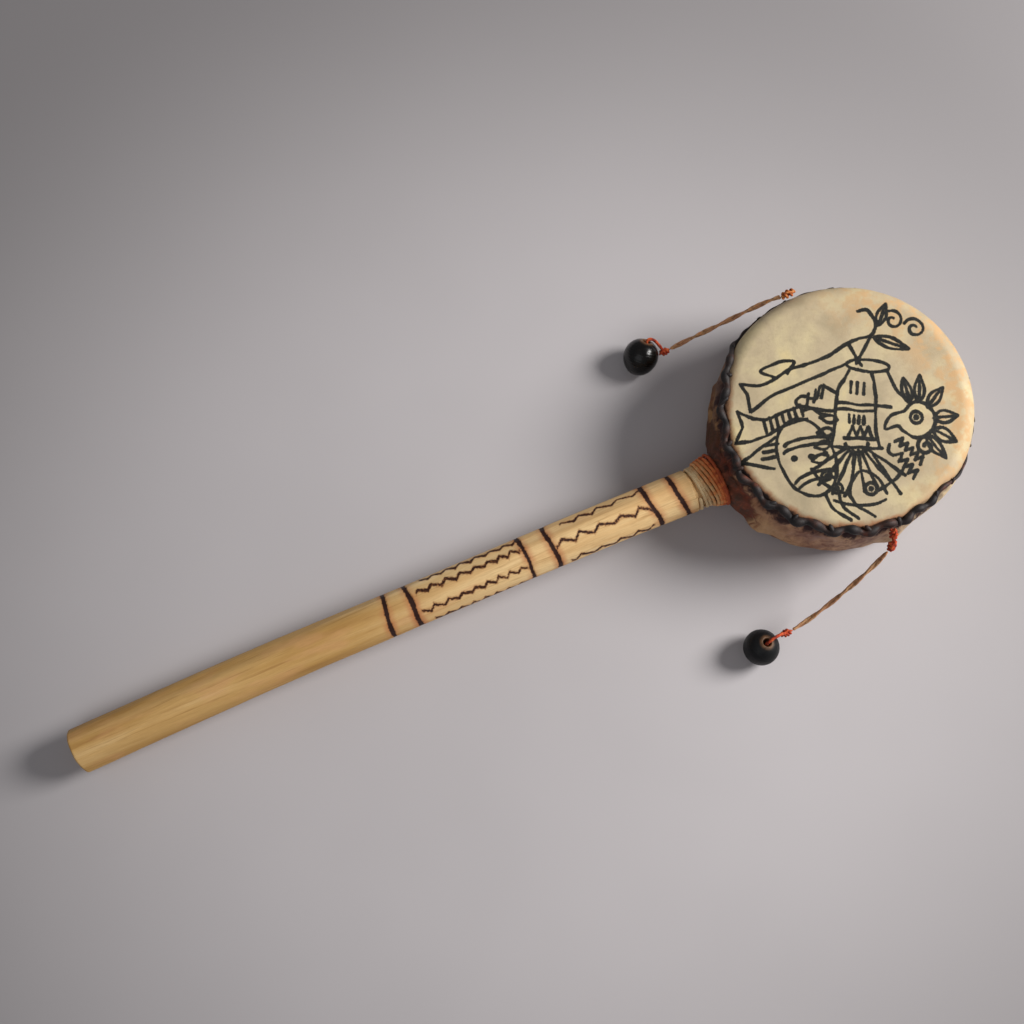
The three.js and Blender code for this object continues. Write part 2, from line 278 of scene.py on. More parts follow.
def axesAlong(path, closed=False):
    # the travel direction, and two directions square to it; the first leans on the line's flattest axis
    if closed:
        travel = np.roll(path, -1, 0) - np.roll(path, 1, 0)
    else:
        travel = np.gradient(path, axis=0)
    travel = travel / np.linalg.norm(travel, axis=1)[:, None]
    flattest = np.linalg.eigh(travel.T @ travel)[1][:, 0]
    side = np.cross(travel, flattest)
    side = side / np.linalg.norm(side, axis=1)[:, None]
    return side, np.cross(side, travel)


def thread(path, radius, sides=12, pitch=None, dip=0.22, closed=False, values=None, ends=True):
    # rings round a path; with a pitch the section has a bulge for each of two plies, and it turns as it goes
    side, over = axesAlong(path, closed)
    turnRound = np.arange(sides) / sides * full
    radius = np.broadcast_to(np.asarray(radius, float).reshape(-1, 1), (len(path), sides))
    if pitch:
        twist = distanceAlong(path)[:, None] / pitch * np.pi
        bulge = np.abs(np.cos(turnRound[None, :] - twist))
        radius = radius * (1 - dip * (1 - bulge))
    if ends and not closed:
        tip = distanceAlong(path)
        tip = np.minimum(tip, tip[-1] - tip)[:, None]
        radius = radius * np.sqrt(np.clip(tip / radius[:, :1].max(), 0.02, 1))
    ring = np.cos(turnRound)[:, None] * side[:, None, :] + np.sin(turnRound)[:, None] * over[:, None, :]
    return shell(path[:, None, :] + radius[..., None] * ring, values, closed)


# materials
def feed(tree, socket, value):
    if isinstance(value, bpy.types.NodeSocket):
        tree.links.new(value, socket)
    else:
        socket.default_value = value


def node(tree, kind, sockets=None, **settings):
    made = tree.nodes.new("ShaderNode" + kind)
    for key, value in settings.items():
        setattr(made, key, value)
    for key, value in (sockets or {}).items():
        feed(tree, made.inputs[key], value)
    return made


def blankMaterial(name):
    material = bpy.data.materials.new(name)
    material.use_nodes = True
    tree = material.node_tree
    shader = tree.nodes["Principled BSDF"]
    shader.inputs["IOR"].default_value = 1.45
    return material, tree, shader


def coords(tree, scale=(1, 1, 1), turn=(0, 0, 0)):
    # Object coordinates in millimetres, stretched and turned as asked
    where = node(tree, "TexCoord").outputs["Object"]
    size = tuple(value / mm for value in scale)
    return node(tree, "Mapping", {"Vector": where, "Scale": size, "Rotation": turn}).outputs["Vector"]


def cloud(tree, where, size, detail=3.0, roughness=0.55, distortion=0.0):
    # noise whose lumps are about size millimetres across
    sockets = {"Vector": where, "Scale": 1 / size, "Detail": detail}
    sockets.update({"Roughness": roughness, "Distortion": distortion})
    return node(tree, "TexNoise", sockets).outputs["Fac"]


def ramp(tree, value, stops):
    made = node(tree, "ValToRGB", {"Fac": value})
    elements = made.color_ramp.elements
    while len(elements) < len(stops):
        elements.new(0.5)
    for element, (position, colour) in zip(elements, stops):
        element.position = position
        element.color = linear(*colour)
    return made.outputs["Color"]


def between(tree, value, low, high, outLow=0.0, outHigh=1.0):
    sockets = {"Value": value, "From Min": low, "From Max": high, "To Min": outLow, "To Max": outHigh}
    return node(tree, "MapRange", sockets, interpolation_type="SMOOTHSTEP").outputs["Result"]


def blend(tree, share, first, second):
    # from the first colour to the second; three numbers are screen values
    first, second = (linear(*c) if isinstance(c, tuple) and len(c) == 3 else c for c in (first, second))
    return node(tree, "Mix", {0: share, 6: first, 7: second}, data_type="RGBA").outputs[2]


def tinted(tree, colour, noise, low, high, most, tint):
    # lets a tint in as the noise goes from low to high, up to that share
    return blend(tree, between(tree, noise, low, high, 0, most), colour, tint)


def reckon(tree, kind, first, second=0.0):
    return node(tree, "Math", {0: first, 1: second}, operation=kind).outputs[0]


def times(tree, first, second):
    return reckon(tree, "MULTIPLY", first, second)


def plus(tree, first, second):
    return reckon(tree, "ADD", first, second)


def facing(tree, angle, low, high, turn=0.0):
    # 0 to 1 as the cosine of an angle attribute, turned by so much, goes from low to high
    return between(tree, reckon(tree, "COSINE", plus(tree, angle, turn)), low, high)


def coat(tree, shader, colour, rough, shine=0.5):
    tree.links.new(colour, shader.inputs["Base Color"])
    feed(tree, shader.inputs["Roughness"], rough)
    shader.inputs["Specular IOR Level"].default_value = shine


def attribute(tree, name):
    return node(tree, "Attribute", attribute_name=name).outputs["Fac"]


def bumped(tree, shader, height, depth, strength=1.0, after=None):
    # height from 0 to 1 raises the surface by depth millimetres
    sockets = {"Height": height, "Distance": depth * mm, "Strength": strength}
    if after:
        sockets["Normal"] = after
    normal = node(tree, "Bump", sockets).outputs["Normal"]
    tree.links.new(normal, shader.inputs["Normal"])
    return normal


# camera: looks down on the drum from the near side, a little askew to the stick
view = {
    "lens": 46.89, "sensor": 36.0,
    "aside": 23.35,          # turn of the camera against the stick
    "elevation": 79.01,
    "distance": 582.7,
    "target": (5.93, 23.70, 0.0),
}
turned = np.radians(view["aside"])
raised = np.radians(view["elevation"])
backward = np.array([-np.sin(turned) * np.cos(raised), -np.cos(turned) * np.cos(raised), np.sin(raised)])
rightward = np.array([np.cos(turned), -np.sin(turned), 0.0])
axes = np.stack([rightward, np.cross(backward, rightward), backward], -1)
cameraData = bpy.data.cameras.new("camera")
cameraData.lens = view["lens"]
cameraData.sensor_width = view["sensor"]
camera = added("camera", cameraData)
cameraAt = Vector((np.array(view["target"]) + backward * view["distance"]) * mm)
camera.matrix_world = Matrix.Translation(cameraAt) @ Matrix(axes.tolist()).to_4x4()
bpy.context.scene.camera = camera
print("camera placed")


# striker cords: two strands laid together from the knot at the rim to the knot at the bead
strikers = {
    "left": {
        "route": [
            (141.2, 55.2, 44.6), (138.9, 55.8, 43.0), (136.4, 56.4, 41.0), (133.4, 56.9, 38.6),
            (129.9, 57.4, 35.7), (126.2, 57.9, 32.6), (122.4, 58.4, 29.4), (118.6, 58.9, 26.2),
            (114.8, 59.4, 23.1), (111.0, 59.9, 20.1), (107.2, 60.4, 17.2), (103.6, 60.8, 14.5),
            (100.4, 61.1, 12.1), (98.0, 61.3, 10.3),
        ],
        "rimKnot": [((144.4, 55.1, 45.0), (1, 0.05, 0.05))],
        "rimLength": 7.0,
        "beadKnot": ((95.4, 61.5, 8.9), (-1, 0.05, -0.45)),
        "loop": [
            (95.0, 61.8, 9.2), (93.6, 64.6, 12.2), (91.8, 67.1, 14.4), (89.6, 67.8, 14.5),
            (88.2, 66.4, 12.4), (86.4, 64.8, 10.0),
        ],
        "bead": {"bore": (0.56, 0.54, 0.63), "stretch": 1.1, "taper": 0.07},
    },
    "right": {
        "route": [
            (136.0, -58.6, 38.9), (133.6, -59.7, 36.6), (130.8, -61.0, 34.2), (127.6, -62.3, 31.7),
            (124.2, -63.6, 29.0), (120.8, -64.8, 26.2), (117.4, -65.9, 23.4), (114.0, -67.0, 20.6),
            (110.6, -68.0, 17.9), (107.2, -68.9, 15.4), (103.8, -69.8, 13.2), (100.4, -70.5, 11.4),
            (97.0, -71.1, 10.1), (94.0, -71.5, 9.4),
        ],
        "rimKnot": [((139.4, -53.4, 45.0), (-0.3, -1, -0.55)), ((138.0, -57.1, 41.6), (-0.5, -0.75, -0.8))],
        "rimLength": 5.4,
        "beadKnot": ((91.1, -71.7, 8.9), (-1, -0.05, -0.15)),
        "loop": [
            (90.6, -71.7, 9.3), (88.8, -71.4, 12.4), (86.6, -71.4, 15.2), (83.6, -71.7, 16.9),
            (81.0, -72.4, 15.9), (80.2, -72.7, 12.4), (79.4, -72.9, 9.0),
        ],
        "bead": {"bore": (0.26, 0.12, 0.95), "stretch": 1.0, "taper": 0.02},
    },
}
cord = {"diameter": 2.2, "strand": 0.62, "apart": 0.5, "turnEvery": 26.0, "plyPitch": 3.4}


def cordMaterial():
    # brown two-ply cord, spotted with orange and tan
    material, tree, shader = blankMaterial("striker cord")
    where = coords(tree)
    spots = cloud(tree, where, 2.2, 2, 0.6)
    tint = cloud(tree, where, 9, 2)
    fibre = cloud(tree, where, 0.35, 3, 0.7)
    colour = ramp(tree, spots, [
        (0.30, (134, 92, 60)), (0.43, (186, 138, 98)), (0.55, (224, 176, 128)),
        (0.68, (226, 146, 84)),
    ])
    colour = tinted(tree, colour, tint, 0.45, 0.62, 0.45, (206, 140, 104))
    colour = tinted(tree, colour, fibre, 0.3, 0.7, 0.3, (96, 60, 38))
    coat(tree, shader, colour, 0.85)
    bumped(tree, shader, fibre, 0.12)
    return material


def strandPair(route):
    # two strands on opposite sides of the middle line, which wind slowly round it
    middle = evenly(smoothPath(route, 400), 0.35)
    side, over = axesAlong(middle)
    run = distanceAlong(middle)
    turnRound = run / cord["turnEvery"] * full + 0.4
    offset = cord["apart"] * (np.cos(turnRound)[:, None] * side + np.sin(turnRound)[:, None] * over)
    strands = [
        thread(middle + sign * offset, cord["strand"], 12, cord["plyPitch"], 0.2) for sign in (1, -1)
    ]
    return middle, together(strands)


cordFinish = cordMaterial()
cords = {}
for name, striker in strikers.items():
    middle, shape = strandPair(striker["route"])
    solid = f"striker_cord_{name}"
    piece = place(f"striker_cord_strands_{name}", inMetres(shape), cordFinish, "striker_cord", solid)
    cords[name] = {"piece": piece, "path": middle * mm, "with": []}
print("striker cords laid")


# knots: thread wound round a short core, and the loop that goes into the bead
knot = {
    "thread": 0.62, "turns": 3, "plyPitch": 3.0,
    "bight": 0.5, "bightLength": 4.4,     # the strand that lies over the windings
    "rimRadius": 1.2, "rimLift": 1.7,
    "beadRadius": 1.1, "beadLength": 4.6, "beadLift": 1.6,
    "loop": 0.72, "loopPitch": 3.4,
}


def knotMaterial(name, main, deep, light):
    material, tree, shader = blankMaterial(name)
    where = coords(tree)
    tint = cloud(tree, where, 1.6, 3, 0.6)
    fibre = cloud(tree, where, 0.3, 3, 0.7)
    colour = ramp(tree, tint, [(0.32, deep), (0.5, main), (0.7, light)])
    colour = tinted(tree, colour, fibre, 0.35, 0.7, 0.35, deep)
    coat(tree, shader, colour, 0.8)
    bumped(tree, shader, fibre, 0.12)
    return material


def windings(centre, axis, radius, length, seed):
    # a thread that winds round an axis, fattest in the middle, over a plump core
    turns, size = knot["turns"], knot["thread"]
    axis = np.array(axis, float) / np.linalg.norm(axis)
    side = np.cross(axis, (0.3, 0.2, 1.0))
    side = side / np.linalg.norm(side)
    over = np.cross(axis, side)
    t = np.linspace(0, 1, 40 * turns)
    turnRound = t * turns * full + seed
    swell = radius * (0.72 + 0.36 * np.sin(np.pi * t)) + 0.12 * np.sin(3 * turnRound / turns + seed)
    slope = 0.35 * np.sin(turnRound + seed)
    along = (t - 0.5) * (length - 2 * size) + slope * size
    round_ = np.cos(turnRound)[:, None] * side + np.sin(turnRound)[:, None] * over
    wound = np.array(centre) + along[:, None] * axis + swell[:, None] * round_
    core = np.array(centre) + np.linspace(-0.5, 0.5, 12)[:, None] * (length - size) * axis
    fat = radius * 0.85 * np.sqrt(np.clip(1 - np.linspace(-1, 1, 12) ** 4, 0.05, 1))
    return [thread(wound, size, 12, knot["plyPitch"]), thread(core, fat, 12, ends=False)]


def crossing(centre, axis, lift, seed):
    # one bight that lies over the windings from end to end
    axis = np.array(axis, float) / np.linalg.norm(axis)
    upwards = np.array([0.1 * np.cos(seed), 0.1 * np.sin(seed), 1.0])
    upwards = upwards - axis * (upwards @ axis)
    upwards = upwards / np.linalg.norm(upwards)
    side = np.cross(axis, upwards)
    t = np.linspace(-1, 1, 40)[:, None]
    line = np.array(centre) + t * axis * knot["bightLength"] * 0.55 + upwards * lift * (1 - t**2) ** 0.5
    return thread(line + side * 0.45 * np.sin(2.4 * t + seed), knot["bight"], 12, knot["plyPitch"])


redThread = knotMaterial("red thread", (188, 62, 28), (92, 22, 12), (232, 120, 62))
orangeThread = knotMaterial("orange thread", (196, 104, 44), (104, 42, 20), (228, 160, 92))
for name, striker in strikers.items():
    turned = []
    for n, (centre, axis) in enumerate(striker["rimKnot"]):
        turned += windings(centre, axis, knot["rimRadius"], striker["rimLength"], 1.3 * n)
        turned.append(crossing(centre, axis, knot["rimLift"], n))
    finish = orangeThread if name == "left" else redThread
    shape = inMetres(together(turned))
    rim = place(f"rim_knot_thread_{name}", shape, finish, "knot_thread", f"rim_knot_{name}")
    centre, axis = striker["beadKnot"]
    turned = windings(centre, axis, knot["beadRadius"], knot["beadLength"], 0.8)
    turned.append(crossing(centre, axis, knot["beadLift"], 2.0))
    loop = evenly(smoothPath(striker["loop"], 160), 0.3)
    turned.append(thread(loop, knot["loop"], 12, knot["loopPitch"]))
    shape = inMetres(together(turned))
    beadKnot = place(f"bead_knot_thread_{name}", shape, redThread, "knot_thread", f"bead_knot_{name}")
    cords[name]["with"] += [rim, beadKnot]
print("knots tied")


# beads: turned from dark wood, with a bore for the cord
bead = {
    "radius": 7.6, "hole": 1.7, "mouth": 0.55, "around": 128,
    "markDepth": 0.018, "markEvery": 1.1, "lumpDepth": 0.1, "lumpSize": 4.5,
}


def beadMaterial(name, dark, brown, gloss, shine):
    # near-black stain over wood: brown shows in the grain and where the bore's edge has rubbed
    material, tree, shader = blankMaterial(name)
    grain = cloud(tree, coords(tree, (1, 1, 0.25), (0.5, 0.4, 0)), 1.3, 4, 0.6, 0.6)
    patch = cloud(tree, coords(tree), 5.5, 2)
    worn = attribute(tree, "worn")
    colour = blend(tree, between(tree, grain, 0.5, 0.75, 0, 0.55), dark, brown)
    colour = tinted(tree, colour, patch, 0.5, 0.75, 0.5, dark)
    wear = times(tree, worn, between(tree, grain, 0.3, 0.6, 0.5, 1.0))
    colour = blend(tree, wear, colour, (104, 74, 50))
    coat(tree, shader, colour, between(tree, patch, 0.35, 0.65, gloss, gloss + 0.14), shine)
    bumped(tree, shader, grain, 0.1, 0.7)
    return material


def beadShape(middle, bore, stretch, taper):
    # a ball about the bore's axis, stretched along it and narrower at one end; the run of rings goes down
    # the outside, round the mouth and back up the bore. Fine turning marks run round it.
    low = np.arcsin((bead["hole"] + bead["mouth"]) / bead["radius"])
    a = np.linspace(-np.pi / 2 + low, np.pi / 2 - low, 120)
    outerRadius = bead["radius"] * np.cos(a) * (1 + taper * np.sin(a))
    outerHeight = bead["radius"] * stretch * np.sin(a)
    mouth = np.linspace(0, np.pi / 2, 7)[1:]
    topRadius = bead["hole"] + bead["mouth"] * (1 - np.sin(mouth))
    topHeight = outerHeight[-1] - bead["mouth"] * (1 - np.cos(mouth))
    inside = np.linspace(topHeight[-1], -topHeight[-1], 30)[1:-1]
    radius = np.concatenate([outerRadius, topRadius, np.full(len(inside), bead["hole"]), topRadius[::-1]])
    height = np.concatenate([outerHeight, topHeight, inside, -topHeight[::-1]])
    worn = np.concatenate([smoothStep(0.80, 1.0, np.abs(a) / a[-1]) ** 2, np.ones(len(radius) - len(a))])
    turnRound = np.arange(bead["around"]) / bead["around"] * full
    marks = bead["markDepth"] * np.sin(height * full / bead["markEvery"])[:, None]
    ring = np.stack([np.cos(turnRound), np.sin(turnRound)], -1)
    flat = (radius[:, None] + marks * (radius > bead["hole"] + 1)[:, None])[..., None] * ring
    rings = np.concatenate([flat, np.broadcast_to(height[:, None, None], flat.shape[:2] + (1,))], -1)
    uneven = bead["lumpDepth"] * lumps(rings + 40, bead["lumpSize"], 21)[..., None]
    rings = rings + uneven * rings / bead["radius"]
    turnTo = np.array(Vector((0, 0, 1)).rotation_difference(Vector(bore)).to_matrix())
    return shell(rings @ turnTo.T + middle, {"worn": worn[:, None]}, looped=True)


beadFinish = {
    "left": beadMaterial("polished black bead", (9, 8, 7), (30, 22, 16), 0.18, 0.42),
    "right": beadMaterial("dull black bead", (13, 14, 16), (32, 29, 27), 0.42, 0.3),
}
for name, striker in strikers.items():
    low, high = (np.array(corner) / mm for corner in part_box(f"bead_{name}"))
    shape = beadShape((low + high) / 2, **striker["bead"])
    shape["points"] = onTable(shape["points"]) * mm
    piece = place(f"turned_bead_{name}", shape, beadFinish[name], "bead_wood", f"bead_{name}")
    cords[name]["with"].append(piece)

print("beads hung")


# the peeled stick: soft knife facets, burnt rings and burnt zigzags
stick = {
    "butt": 9.9, "waist": 9.15, "shoulder": 9.4, "neck": 7.8,     # radii
    "neckAt": -70, "tenonEnd": -38,
    "bow": 1.4, "buttAside": -0.8, "neckAside": -2.7,
    "slant": 1.2, "slantReach": 30, "chamfer": 0.8,
    "facets": 11, "facetDepth": 0.2, "softness": 9.0,
    "around": 120, "step": 0.46,
    "knife": (0.12, 0.04),   # height of the long waves that the knife left, on the stick and on the tenon
    "uneven": (0.07, 0.03), "sawn": 0.06, "burnDepth": 0.09,
    "ringWave": 0.45, "ringDrift": 0.35, "rowDrift": 0.035,
    "rings": [
        # u, lean towards one side, half width
        (-206.7, -0.5, 0.75), (-195.7, 0.7, 0.95), (-144.4, 0.4, 0.85),
        (-132.9, 0.4, 0.95), (-87.9, 1.1, 0.95), (-75.8, 1.3, 0.95),
    ],
    "panels": [
        # where it starts and ends, length of one zigzag, its height, angles of the rows from the top
        (-195.7, -144.4, 5.9, 1.15, (54, 20, -35, -84, -135, 174, 112)),
        (-132.9, -87.9, 8.2, 1.45, (50, -8, -68, -128, 171, 110)),
    ],
    "stroke": 0.55,
}
buttAt = (mounts["butt_end"] - drum["middle"]) @ forward


def stickMiddle(u):
    # the stick is set a little aside, and it bows gently
    along = np.clip((u - buttAt) / (stick["neckAt"] - buttAt), 0, 1)
    straight = stick["buttAside"] + (stick["neckAside"] - stick["buttAside"]) * along
    return straight + stick["bow"] * np.sin(np.pi * along)


def stickRadius(u):
    along = np.clip((u - buttAt) / (stick["neckAt"] - buttAt), 0, 1)
    body = np.interp(along, [0, 0.6, 1], [stick["butt"], stick["waist"], stick["shoulder"]])
    return body + (stick["neck"] - stick["shoulder"]) * smoothStep(stick["neckAt"], stick["neckAt"] + 2, u)


def facetPlanes(u, angle, radius):
    # the nearest of several flats round the stick, rounded where they meet; each one's depth wanders
    rng = np.random.default_rng(3)
    total = np.exp(-stick["softness"] * 0.02) * np.ones(np.broadcast(u, angle).shape)
    for n in range(stick["facets"]):
        middle = (n + rng.uniform(-0.28, 0.28)) / stick["facets"] * full
        wander = noiseAt(31, u / 46, n * 3.1, 0)
        depth = stick["facetDepth"] * (1 + 0.9 * wander) * rng.uniform(0.6, 1.35)
        turnedBy = 0.05 * noiseAt(32, u / 80, 0, n * 2.3)
        lean = np.maximum(np.cos(angle - middle - turnedBy), 0.2)
        flat = (radius - depth) / lean - radius
        total = total + np.exp(-stick["softness"] * flat)
    return radius - np.log(total) / stick["softness"]


def wrapped(angle):
    return (angle + np.pi) % full - np.pi


def zigzag(x):
    # a triangle wave from -1 to 1, slightly rounded, that climbs faster than it falls
    skewed = x + 0.07 * np.sin(x * full)
    return 2 / np.pi * np.arcsin(0.985 * np.sin(skewed * full))


def burntLines(u, angle, radius):
    # signed distance to the nearest burnt line, below zero inside it, and the same for the rings alone
    wobble = noiseAt(41, u / 3.1, np.cos(angle) * 3.4, np.sin(angle) * 3.4)
    coarse = noiseAt(42, u / 9, np.cos(angle) * 1.6, np.sin(angle) * 1.6)
    rings = np.full(u.shape, 9.0)
    for n, (at, lean, width) in enumerate(stick["rings"]):
        drift = stick["ringWave"] * np.sin(2 * angle + n) + stick["ringDrift"] * coarse
        line = at - lean * np.sin(angle) + drift
        off = np.abs(u - line) - width * (1 + 0.35 * coarse + 0.2 * wobble)
        rings = np.minimum(rings, off)
    lines = rings + 0
    for p, (start, stop, period, height, rows) in enumerate(stick["panels"]):
        for n, row in enumerate(rows):
            centre = np.radians(row) + stick["rowDrift"] * np.sin(u / 17 + 2.1 * n)
            phase = (u - start) / period * (1 + 0.05 * np.sin(u / 11 + n)) + 0.37 * n + 0.2 * p
            tall = height * (1 + 0.22 * np.sin(u / 4.7 + 1.9 * n))
            offset = radius * wrapped(angle - centre) - tall * zigzag(phase)
            slope = 4 * tall / period
            width = stick["stroke"] * (1 + 0.3 * coarse + 0.25 * wobble)
            off = np.abs(offset) / np.sqrt(1 + slope**2) - width
            begin = start + 1.5 + 5.5 * (0.5 + 0.5 * np.sin(2.4 * n + 1 + p))
            finish = stop - 0.6 - 1.2 * (0.5 + 0.5 * np.sin(3.1 * n + p))
            outside = np.maximum(begin - u, u - finish)
            lines = np.minimum(lines, np.maximum(off, outside))
    return lines, rings


def stickShape():
    # a lathe-like skin: rows up the sawn butt, over its chamfer and along the stick; each row goes round
    faceRadius = np.linspace(0.04, 1, 16)[:-1] * (stick["butt"] - stick["chamfer"])
    bend = np.linspace(0, np.pi / 2, 6)
    edgeRadius = stick["butt"] - stick["chamfer"] * (1 - np.sin(bend))
    edgeAt = buttAt + stick["chamfer"] * (1 - np.cos(bend))
    count = int((stick["tenonEnd"] - edgeAt[-1]) / stick["step"])
    bodyAt = np.linspace(edgeAt[-1], stick["tenonEnd"], count)[1:]
    u = np.concatenate([np.full(15, buttAt), edgeAt, bodyAt])[:, None]
    share = np.concatenate([faceRadius, edgeRadius]) / stick["butt"]
    share = np.concatenate([share, np.ones(len(bodyAt))])[:, None]
    angle = np.arange(stick["around"])[None, :] / stick["around"] * full
    u, angle = np.broadcast_arrays(u, angle)
    radius = stickRadius(u)
    knife = np.where(u < stick["neckAt"], *stick["knife"])
    waves = knife * (np.sin(3 * angle + u / 31) + np.cos(5 * angle - u / 23))
    whittled = facetPlanes(u, angle, radius) + waves
    onSurface = np.stack([u / 14, np.cos(angle) * 2.2, np.sin(angle) * 2.2], -1)
    broad, fine = stick["uneven"]
    whittled = whittled + broad * lumps(onSurface, 1, 33) + fine * lumps(onSurface * 3.1, 1, 34)
    lines, rings = burntLines(u, angle, radius)
    whittled = whittled - stick["burnDepth"] * smoothStep(0.25, -0.35, lines)
    reach = share * whittled
    slant = stick["slant"] * np.maximum(0, 1 - (u - buttAt) / stick["slantReach"]) / (2 * stick["butt"])
    sawn = stick["sawn"] * noiseAt(35, reach * np.cos(angle) / 3, reach * np.sin(angle) / 0.8, 0)
    alongU = u - slant * reach * np.sin(angle) + sawn * (share < 0.9)
    points = np.stack([alongU, stickMiddle(u) + reach * np.sin(angle), reach * np.cos(angle)], -1)
    endGrain = np.where(share < 0.93, share, 2.0)      # 2 stands for the bark side
    values = {"burn": lines, "ring": rings, "endGrain": endGrain}
    return shell(lie(points), values)


def stickMaterial():
    # peeled wood, tan at the butt and paler towards the drum, with streaks and specks along the grain
    material, tree, shader = blankMaterial("peeled stick wood")
    where = coords(tree)
    x = node(tree, "SeparateXYZ", {"Vector": where}).outputs["X"]
    paler = between(tree, x, -85, -10)
    broad = cloud(tree, coords(tree, (0.045, 1, 1)), 6.5, 3, 0.5, 0.3)
    streak = cloud(tree, coords(tree, (0.03, 1, 1)), 1.5, 4, 0.65, 0.2)
    fine = cloud(tree, coords(tree, (0.05, 1, 1)), 0.35, 3, 0.7)
    patch = cloud(tree, coords(tree, (0.35, 1, 1)), 9, 3, 0.5)
    tan = ramp(tree, broad, [
        (0.28, (172, 126, 64)), (0.45, (202, 158, 92)), (0.60, (216, 174, 110)),
        (0.75, (232, 196, 138)),
    ])
    pale = ramp(tree, broad, [
        (0.28, (220, 174, 116)), (0.46, (238, 198, 140)), (0.62, (246, 212, 156)),
        (0.78, (252, 226, 180)),
    ])
    colour = blend(tree, paler, tan, pale)
    colour = tinted(tree, colour, streak, 0.52, 0.72, 0.5, (160, 112, 58))
    colour = tinted(tree, colour, patch, 0.52, 0.7, 0.35, (226, 170, 122))
    colour = tinted(tree, colour, fine, 0.3, 0.7, 0.22, (150, 108, 62))
    burn = attribute(tree, "burn")
    ring = attribute(tree, "ring")
    grit = cloud(tree, where, 0.9, 3, 0.6)
    wavy = plus(tree, burn, between(tree, grit, 0.2, 0.8, -0.28, 0.28))
    halo = times(tree, between(tree, ring, 3.2, 0.2), between(tree, patch, 0.3, 0.62, 0.15, 0.8))
    colour = blend(tree, halo, colour, (192, 122, 78))
    warm = between(tree, wavy, 0.7, 0.0, 0, 0.55)
    colour = blend(tree, warm, colour, (150, 88, 44))
    charred = ramp(tree, between(tree, grit, 0.35, 0.7), [
        (0.0, (46, 22, 14)), (0.6, (74, 38, 20)), (1.0, (122, 74, 38)),
    ])
    ringDark = blend(tree, between(tree, ring, 0.3, -0.1), charred, (46, 20, 13))
    colour = blend(tree, between(tree, wavy, 0.16, -0.16), colour, ringDark)
    endGrain = attribute(tree, "endGrain")
    growth = reckon(tree, "SINE", times(tree, endGrain, 52.0))
    sawnFace = between(tree, endGrain, 1.2, 1.0, 0, 0.6)
    sawnTone = blend(tree, between(tree, growth, -1, 1, 0, 0.5), (176, 132, 78), (146, 104, 58))
    colour = blend(tree, sawnFace, colour, sawnTone)
    coat(tree, shader, colour, between(tree, streak, 0.3, 0.7, 0.5, 0.68), 0.35)
    grooves = bumped(tree, shader, streak, 0.16, 0.8)
    bumped(tree, shader, fine, 0.06, 0.8, grooves)
    return material


place("peeled_stick", stickShape(), stickMaterial(), "stick_wood", "stick")
print("stick whittled")


# the struck hide: a drumhead that turns down into the laced groove, with a drawing in black ink
hide = {
    "thick": 1.1, "cells": 280,
    "flatShare": 0.86,       # share of the net that lies flat; the rest rolls over the rim
    "scallop": 4.0,          # how far the stitches pull the hem along the rim, in degrees
    "ink": 0.70,             # half the width of the pen's line
    "drawingTurn": 23.35,    # the drawing stands this far round from the stick's line
    "drawingAt": (-0.8, -0.6), "drawingScale": 1.07,
    "hemLift": 0.5,          # how far the hem stays above the laced line, in degrees
    "tuck": 0.45,            # how far the hem is drawn in
    "clear": 3.0,            # ink distance where no line is near
    "undersideRadii": (44.0, 36.0),
}


strokes = []


def line(*points):
    strokes.append(np.array(points, float))


def curve(*points):
    strokes.append(smoothPath([(x, y, 0) for x, y in points], 60)[:, :2])


def arc(middle, radii, start, stop, lean=0, count=48):
    # part of an ellipse from one angle to another, leaning round its middle
    a = np.radians(np.linspace(start, stop, count))
    x, y = radii[0] * np.cos(a), radii[1] * np.sin(a)
    c, s = np.cos(np.radians(lean)), np.sin(np.radians(lean))
    strokes.append(np.stack([middle[0] + c * x - s * y, middle[1] + s * x + c * y], -1))


def spiral(middle, outer, inner, start, turns):
    # the radius shrinks evenly as the line winds in
    t = np.linspace(0, 1, 70)
    a = np.radians(start) + t * turns * full
    r = outer + (inner - outer) * t
    strokes.append(np.stack([middle[0] + r * np.cos(a), middle[1] + r * np.sin(a)], -1))


def ticks(start, stop, length, lean, count):
    # short parallel marks set evenly between two points
    step = 0.5 * length * np.array([np.cos(np.radians(lean)), np.sin(np.radians(lean))])
    for middle in np.linspace(start, stop, count):
        line(middle - step, middle + step)


def alongAside(start, stop):
    # the way from one point to the other, and the unit direction square to it
    along = stop - start
    return along, np.array([-along[1], along[0]]) / np.linalg.norm(along)


def teeth(start, stop, height, count):
    start, stop = np.array(start, float), np.array(stop, float)
    along, aside = alongAside(start, stop)
    t = np.linspace(0, 1, 2 * count + 1)
    lift = np.where(np.arange(len(t)) % 2, height, 0)
    strokes.append(start + t[:, None] * along + lift[:, None] * aside)


def leaf(base, tip, width, vein=True):
    # two bowed sides from base to tip, and a vein
    base, tip = np.array(base, float), np.array(tip, float)
    along, aside = alongAside(base, tip)
    t = np.linspace(0, 1, 24)[:, None]
    bow = np.sin(np.pi * t ** 0.8) * width / 2
    strokes.extend(base + t * along + sign * bow * aside for sign in (1, -1))
    if vein:
        line(base + 0.15 * along, base + 0.8 * along)


